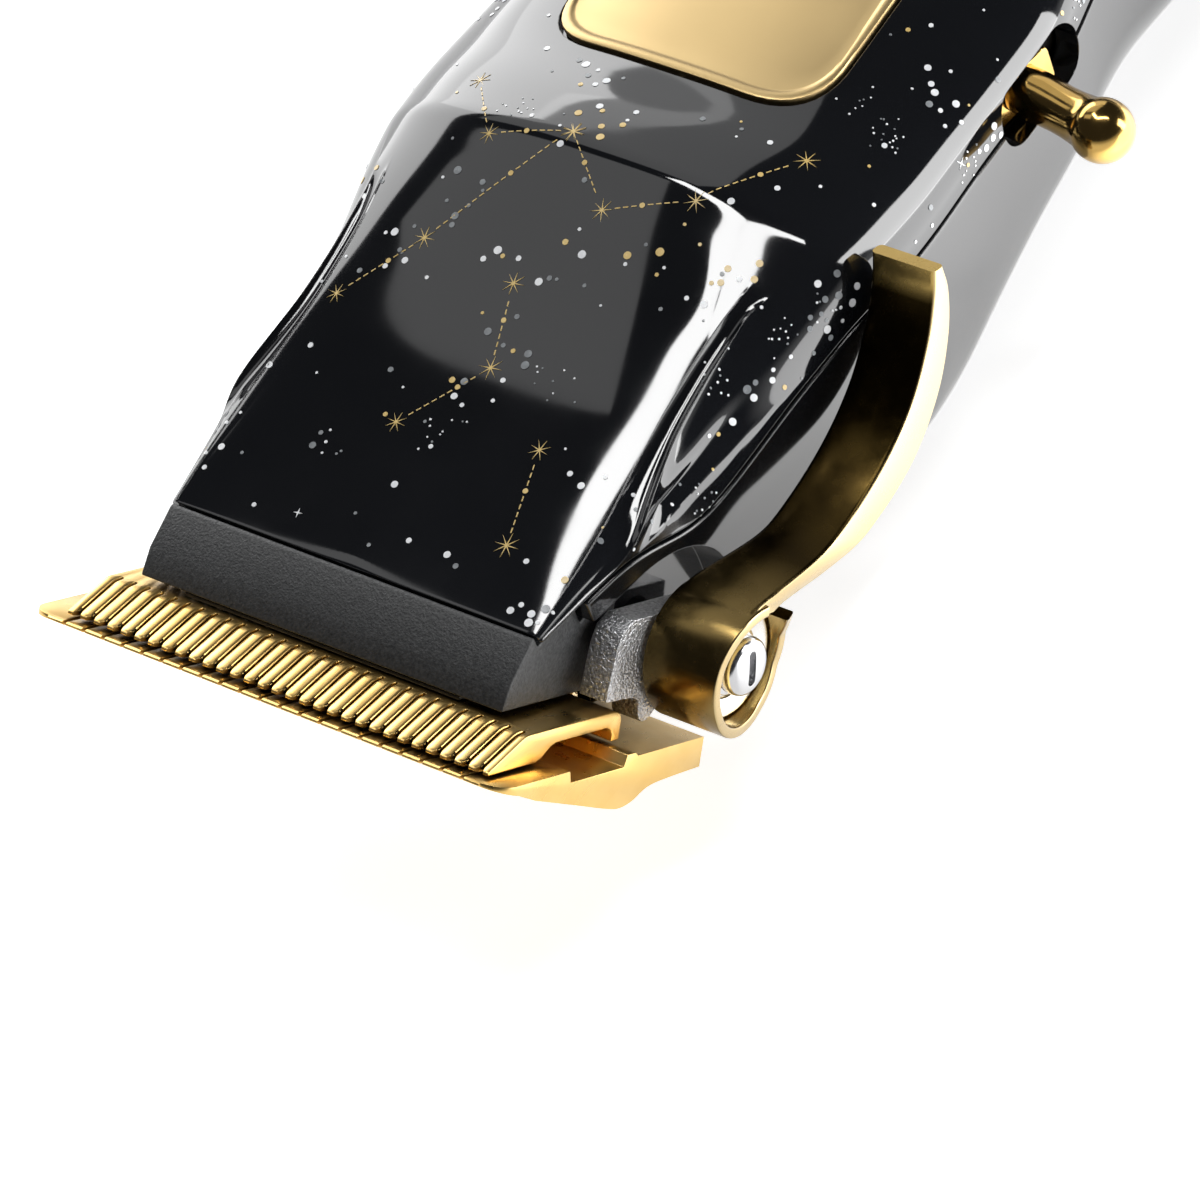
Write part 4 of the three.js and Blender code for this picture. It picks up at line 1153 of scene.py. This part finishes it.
FINISHES = {
    "lacquer_lid": ((0.0035, 0.004, 0.005), (0.0055, 0.0062, 0.0075), 0, (0.035, 0.07), 30,
        ((900, 2e-7),), {"edge": 0.0001, "ior": 1.62}),
    "lacquer_shell": ((0.004, 0.0042, 0.0048), (0.0065, 0.0068, 0.0075), 0, (0.07, 0.12), 30,
        ((900, 3e-7),), {"edge": 0.00015, "ior": 1.65}),
    "charcoal_grain": ((0.014, 0.015, 0.016), (0.05, 0.051, 0.052), 0, (0.42, 0.6), 3800,
        ((5200, 4.5e-5), (1900, 1.5e-5)), {}),
    "dark_plate": ((0.018, 0.018, 0.019), (0.034, 0.034, 0.035), 0, (0.3, 0.45), 200,
        ((4000, 8e-6),), {}),
    # The blade's tint darkens its narrow gaps: painted shade.
    "blade_gold": ((0.74, 0.48, 0.15), (0.8, 0.55, 0.2), 1, (0.26, 0.36), 220,
        ((2600, 5e-6),), {"brush": (1, 0.12, 1), "edge": 0.00004,
        "tints": ((painted_gap_shade, (0.17, 0.1, 0.025)),)}),
    # The lever's near-black gold is painted shade, and the hub, tip and side tints over it are
    # painted light.
    "lever_gold": ((0.016, 0.01, 0.003), (0.042, 0.027, 0.007), 1, (0.19, 0.3), 180,
        ((3000, 1.2e-6),), {"tints": ((hub, (0.17, 0.118, 0.042)), (tip, (0.42, 0.29, 0.09)),
        (painted_side_highlight, (0.46, 0.35, 0.18)))}),
    # The lever's gold as it looks lit, for the wrap's inside faces: painted light.
    "lever_gold_painted_lit": ((0.62, 0.42, 0.13), (0.78, 0.55, 0.19), 1, (0.18, 0.28), 180,
        ((3000, 1.2e-6),), {}),
    "toggle_gold": ((0.38, 0.235, 0.065), (0.52, 0.34, 0.105), 1, (0.1, 0.18), 180,
        ((3000, 1e-6),), {}),
    "badge_gold": ((0.42, 0.305, 0.14), (0.47, 0.345, 0.165), 1, (0.34, 0.42), 60,
        ((3500, 1.5e-6),), {"brush": (0.05, 1, 1)}),
    "cast_grain": ((0.2, 0.2, 0.21), (0.72, 0.72, 0.73), 0.9, (0.3, 0.5), 4200,
        ((2600, 1.6e-4), (5200, 8e-5)), {"tints": ((worn_edges, grey(0.85)),)}),
    "bright_steel": ((0.44, 0.44, 0.45), (0.56, 0.56, 0.57), 1, (0.12, 0.22), 300,
        ((4000, 2e-6),), {"edge": 0.00005}),
    "pale_steel": ((0.5, 0.49, 0.47), (0.62, 0.61, 0.59), 1, (0.24, 0.34), 300,
        ((4000, 2e-6),), {}),
    "seal_rubber": (grey(0.008), grey(0.016), 0, (0.55, 0.75), 300, ((3500, 1e-5),), {}),
    "grey_moulding": ((0.075, 0.08, 0.085), (0.11, 0.115, 0.12), 0, (0.4, 0.6), 200,
        ((3800, 8e-6),), {"edge": 0.0002}),
    "board_green": ((0.01, 0.075, 0.035), (0.016, 0.12, 0.055), 0, (0.3, 0.5), 400,
        ((5000, 6e-6),), {}),
    "cell_wrap": ((0.02, 0.11, 0.3), (0.035, 0.16, 0.38), 0, (0.22, 0.35), 80,
        ((700, 2e-5),), {}),
    "lamp_lens": ((0.62, 0.68, 0.72), (0.74, 0.8, 0.84), 0, (0.1, 0.2), 300,
        ((3000, 2e-6),), {}),
    "ink_white": ((0.72, 0.74, 0.76), (0.86, 0.87, 0.88), 0, (0.18, 0.3), 900, (), {}),
    "ink_grey": ((0.16, 0.17, 0.18), (0.27, 0.29, 0.3), 0, (0.18, 0.3), 900, (), {}),
    "ink_gold": ((0.6, 0.42, 0.14), (0.72, 0.54, 0.22), 0, (0.18, 0.3), 900, (), {}),
    "studio_floor": (grey(0.8), grey(0.83), 0, (0.6, 0.7), 3, (), {"glow": table_glow}),
}

# The finish of the CAD nodes that stay as they are, where it isn't bright steel.
MOULDED = (
    "motor_end_cap", "motor_mount", "eccentric_cam", "battery_cradle", "drive_yoke", "switch_body",
)
CAD_FINISHES = {
    "circuit_board": "board_green", "battery_cell": "cell_wrap", "charge_light": "lamp_lens",
    **dict.fromkeys(MOULDED, "grey_moulding"),
}


# ---- Stage, lights and camera

AIM = Vector((0, -0.02, 0.02))
FLOOR, FLOOR_LEVEL = (-8.0, 8.0), -0.0001
CAMERA = {
    "azimuth": 51.581, "elevation": 46.692, "roll": 22.205, "distance": 0.6355,
    "aim": (0.0181960, -0.0345962, 0.0239276), "lens": 252.645,
}


def panel(name, size, radiance, matrix):
    """A rectangular light of a given radiance."""
    light = bpy.data.lights.new(name, "AREA")
    light.shape = "RECTANGLE"
    light.size, light.size_y = size
    light.energy = radiance * pi * size[0] * size[1]
    linked(name, light).matrix_world = matrix


def overhead(name, start, stop, width, radiance):
    """A level strip 1 m above the object, between two places over the handle."""
    a, b = Vector((*start, 1)), Vector((*stop, 1))
    turn = atan2(b.y - a.y, b.x - a.x)
    place = Matrix.Translation(AIM + (a + b) / 2) @ Matrix.Rotation(turn, 4, "Z")
    panel(name, ((b - a).length, width), radiance, place)


def upright(name, direction, distance, size, radiance):
    back = Vector(direction).normalized()
    side = Vector((-back.y, back.x, 0)).normalized()
    turn = Matrix((side, back.cross(side), back)).transposed().to_4x4()
    panel(name, size, radiance, Matrix.Translation(AIM + back * distance) @ turn)


def make_lights():
    overhead("strip_front", (-0.45, 0.23), (-0.08, 0.0), 0.1, 17)
    overhead("strip_rear", (-0.05, -0.01), (0.5, 0.36), 0.1, 17)
    overhead("soft_front", (-1.15, -0.02), (-0.45, -0.02), 0.26, 1.0)
    overhead("soft_rear", (-1.2, 0.78), (-0.37, 0.78), 0.9, 0.9)
    upright("soft_teeth", (-0.6, 0.7, 0.42), 1.5, (1.1, 0.6), 1.3)
    upright("left_low", (-0.9, 0.42, 0.3), 1.25, (1.0, 0.78), 4.5)
    upright("right_low", (0.8, 0.55, 0.2), 1.3, (0.45, 0.66), 10)


def make_stage():
    mesh = bpy.data.meshes.new("studio_floor")
    edge = [(*place, FLOOR_LEVEL) for place in rectangle(FLOOR, FLOOR)]
    mesh.from_pydata(edge, [], [(0, 1, 2, 3)])
    mesh.materials.append(materials["studio_floor"])
    floor = linked("studio_floor", mesh)


def make_world():
    """A pale room, bright near the floor and dark overhead, for gloss black to reflect."""
    world = bpy.data.worlds.new("studio")
    bpy.context.scene.world = world
    tree = emptied(world)
    ramp = add(tree, "ValToRGB", {"Fac": coordinate(tree, "Generated", "Z")})
    ramp.color_ramp.interpolation = "EASE"
    stops = ramp.color_ramp.elements
    stops[0].position, stops[0].color = 0.0, (1, 1, 1, 1)
    stops[1].position, stops[1].color = 0.22, (0.05, 0.05, 0.055, 1)
    background = add(tree, "Background", {"Strength": 0.9, "Color": ramp.outputs["Color"]})
    add(tree, "OutputWorld", {"Surface": background.outputs["Background"]})


def make_camera():
    data = bpy.data.cameras.new("camera")
    data.lens, data.sensor_width = CAMERA["lens"], 36
    data.clip_start, data.clip_end = 0.01, 100
    camera = linked("camera", data)
    a, e = radians(CAMERA["azimuth"]), radians(CAMERA["elevation"])
    back = Vector((sin(a) * cos(e), -cos(a) * cos(e), sin(e)))
    turn = (-back).to_track_quat("-Z", "Y").to_matrix().to_4x4()
    roll = Matrix.Rotation(-radians(CAMERA["roll"]), 4, "Z")
    place = Matrix.Translation(Vector(CAMERA["aim"]) + back * CAMERA["distance"])
    camera.matrix_world = place @ turn @ roll
    bpy.context.scene.camera = camera


# ---- Assembly

# Each piece: what makes it, its material, body, CAD node and slot, and the angle of a sharp edge.
PIECES = (
    (make_lid, "lacquer_lid", "housing", "lid", "gloss_black", 28),
    (make_shell, "lacquer_shell", "housing", "lower_shell", "gloss_black", 28),
    (make_rear_cap, "lacquer_shell", "housing", "rear_cap", "gloss_black", 30),
    (make_badge, "badge_gold", "housing", "badge_plate", "gold_satin", 34),
    (make_nose, "charcoal_grain", "housing", "nose_cover", "matte_charcoal", 40),
    (make_fixed_blade, "blade_gold", "housing", "fixed_blade", "gold_blade", 38),
    (make_moving_blade, "blade_gold", "cutter", "moving_blade", "gold_blade", 38),
    (make_guide, "dark_plate", "guide", "cutter_guide", "matte_charcoal", 40),
    (make_bracket, "cast_grain", "housing", "lever_bracket", "cast_metal", 40),
    (make_lever, "lever_gold", "lever", "taper_lever", "gold_polished", 40),
    (make_dish_washer, "pale_steel", "lever", "lever_dish_washer", "steel", 35),
    (make_flat_washer, "bright_steel", "lever", "lever_washer", "steel", 35),
    (make_pan_screw, "bright_steel", "lever", "lever_screw", "steel", 38),
    (make_toggle, "toggle_gold", "switch", "switch_toggle", "gold_polished", 38),
    (make_seal, "seal_rubber", "housing", "switch_gasket", "black_rubber", 40),
)

materials = {name: finish(name, *values, **more) for name, (*values, more) in FINISHES.items()}
make_world()
make_camera()
make_stage()
make_lights()
pieces = {}
for make, material, body, node, slot, sharp in PIECES:
    piece = pieces[node] = make()
    dressed(piece, material, sharp)
    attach(piece, body)
    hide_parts(node)
paint_lit_inside(pieces["taper_lever"])
make_print(pieces["lid"])
for name in frame["nodes"].keys() - pieces.keys():
    dressed(frame["nodes"][name], CAD_FINISHES.get(name, "bright_steel"), 30)

bpy.context.scene.view_settings.view_transform = "Standard"
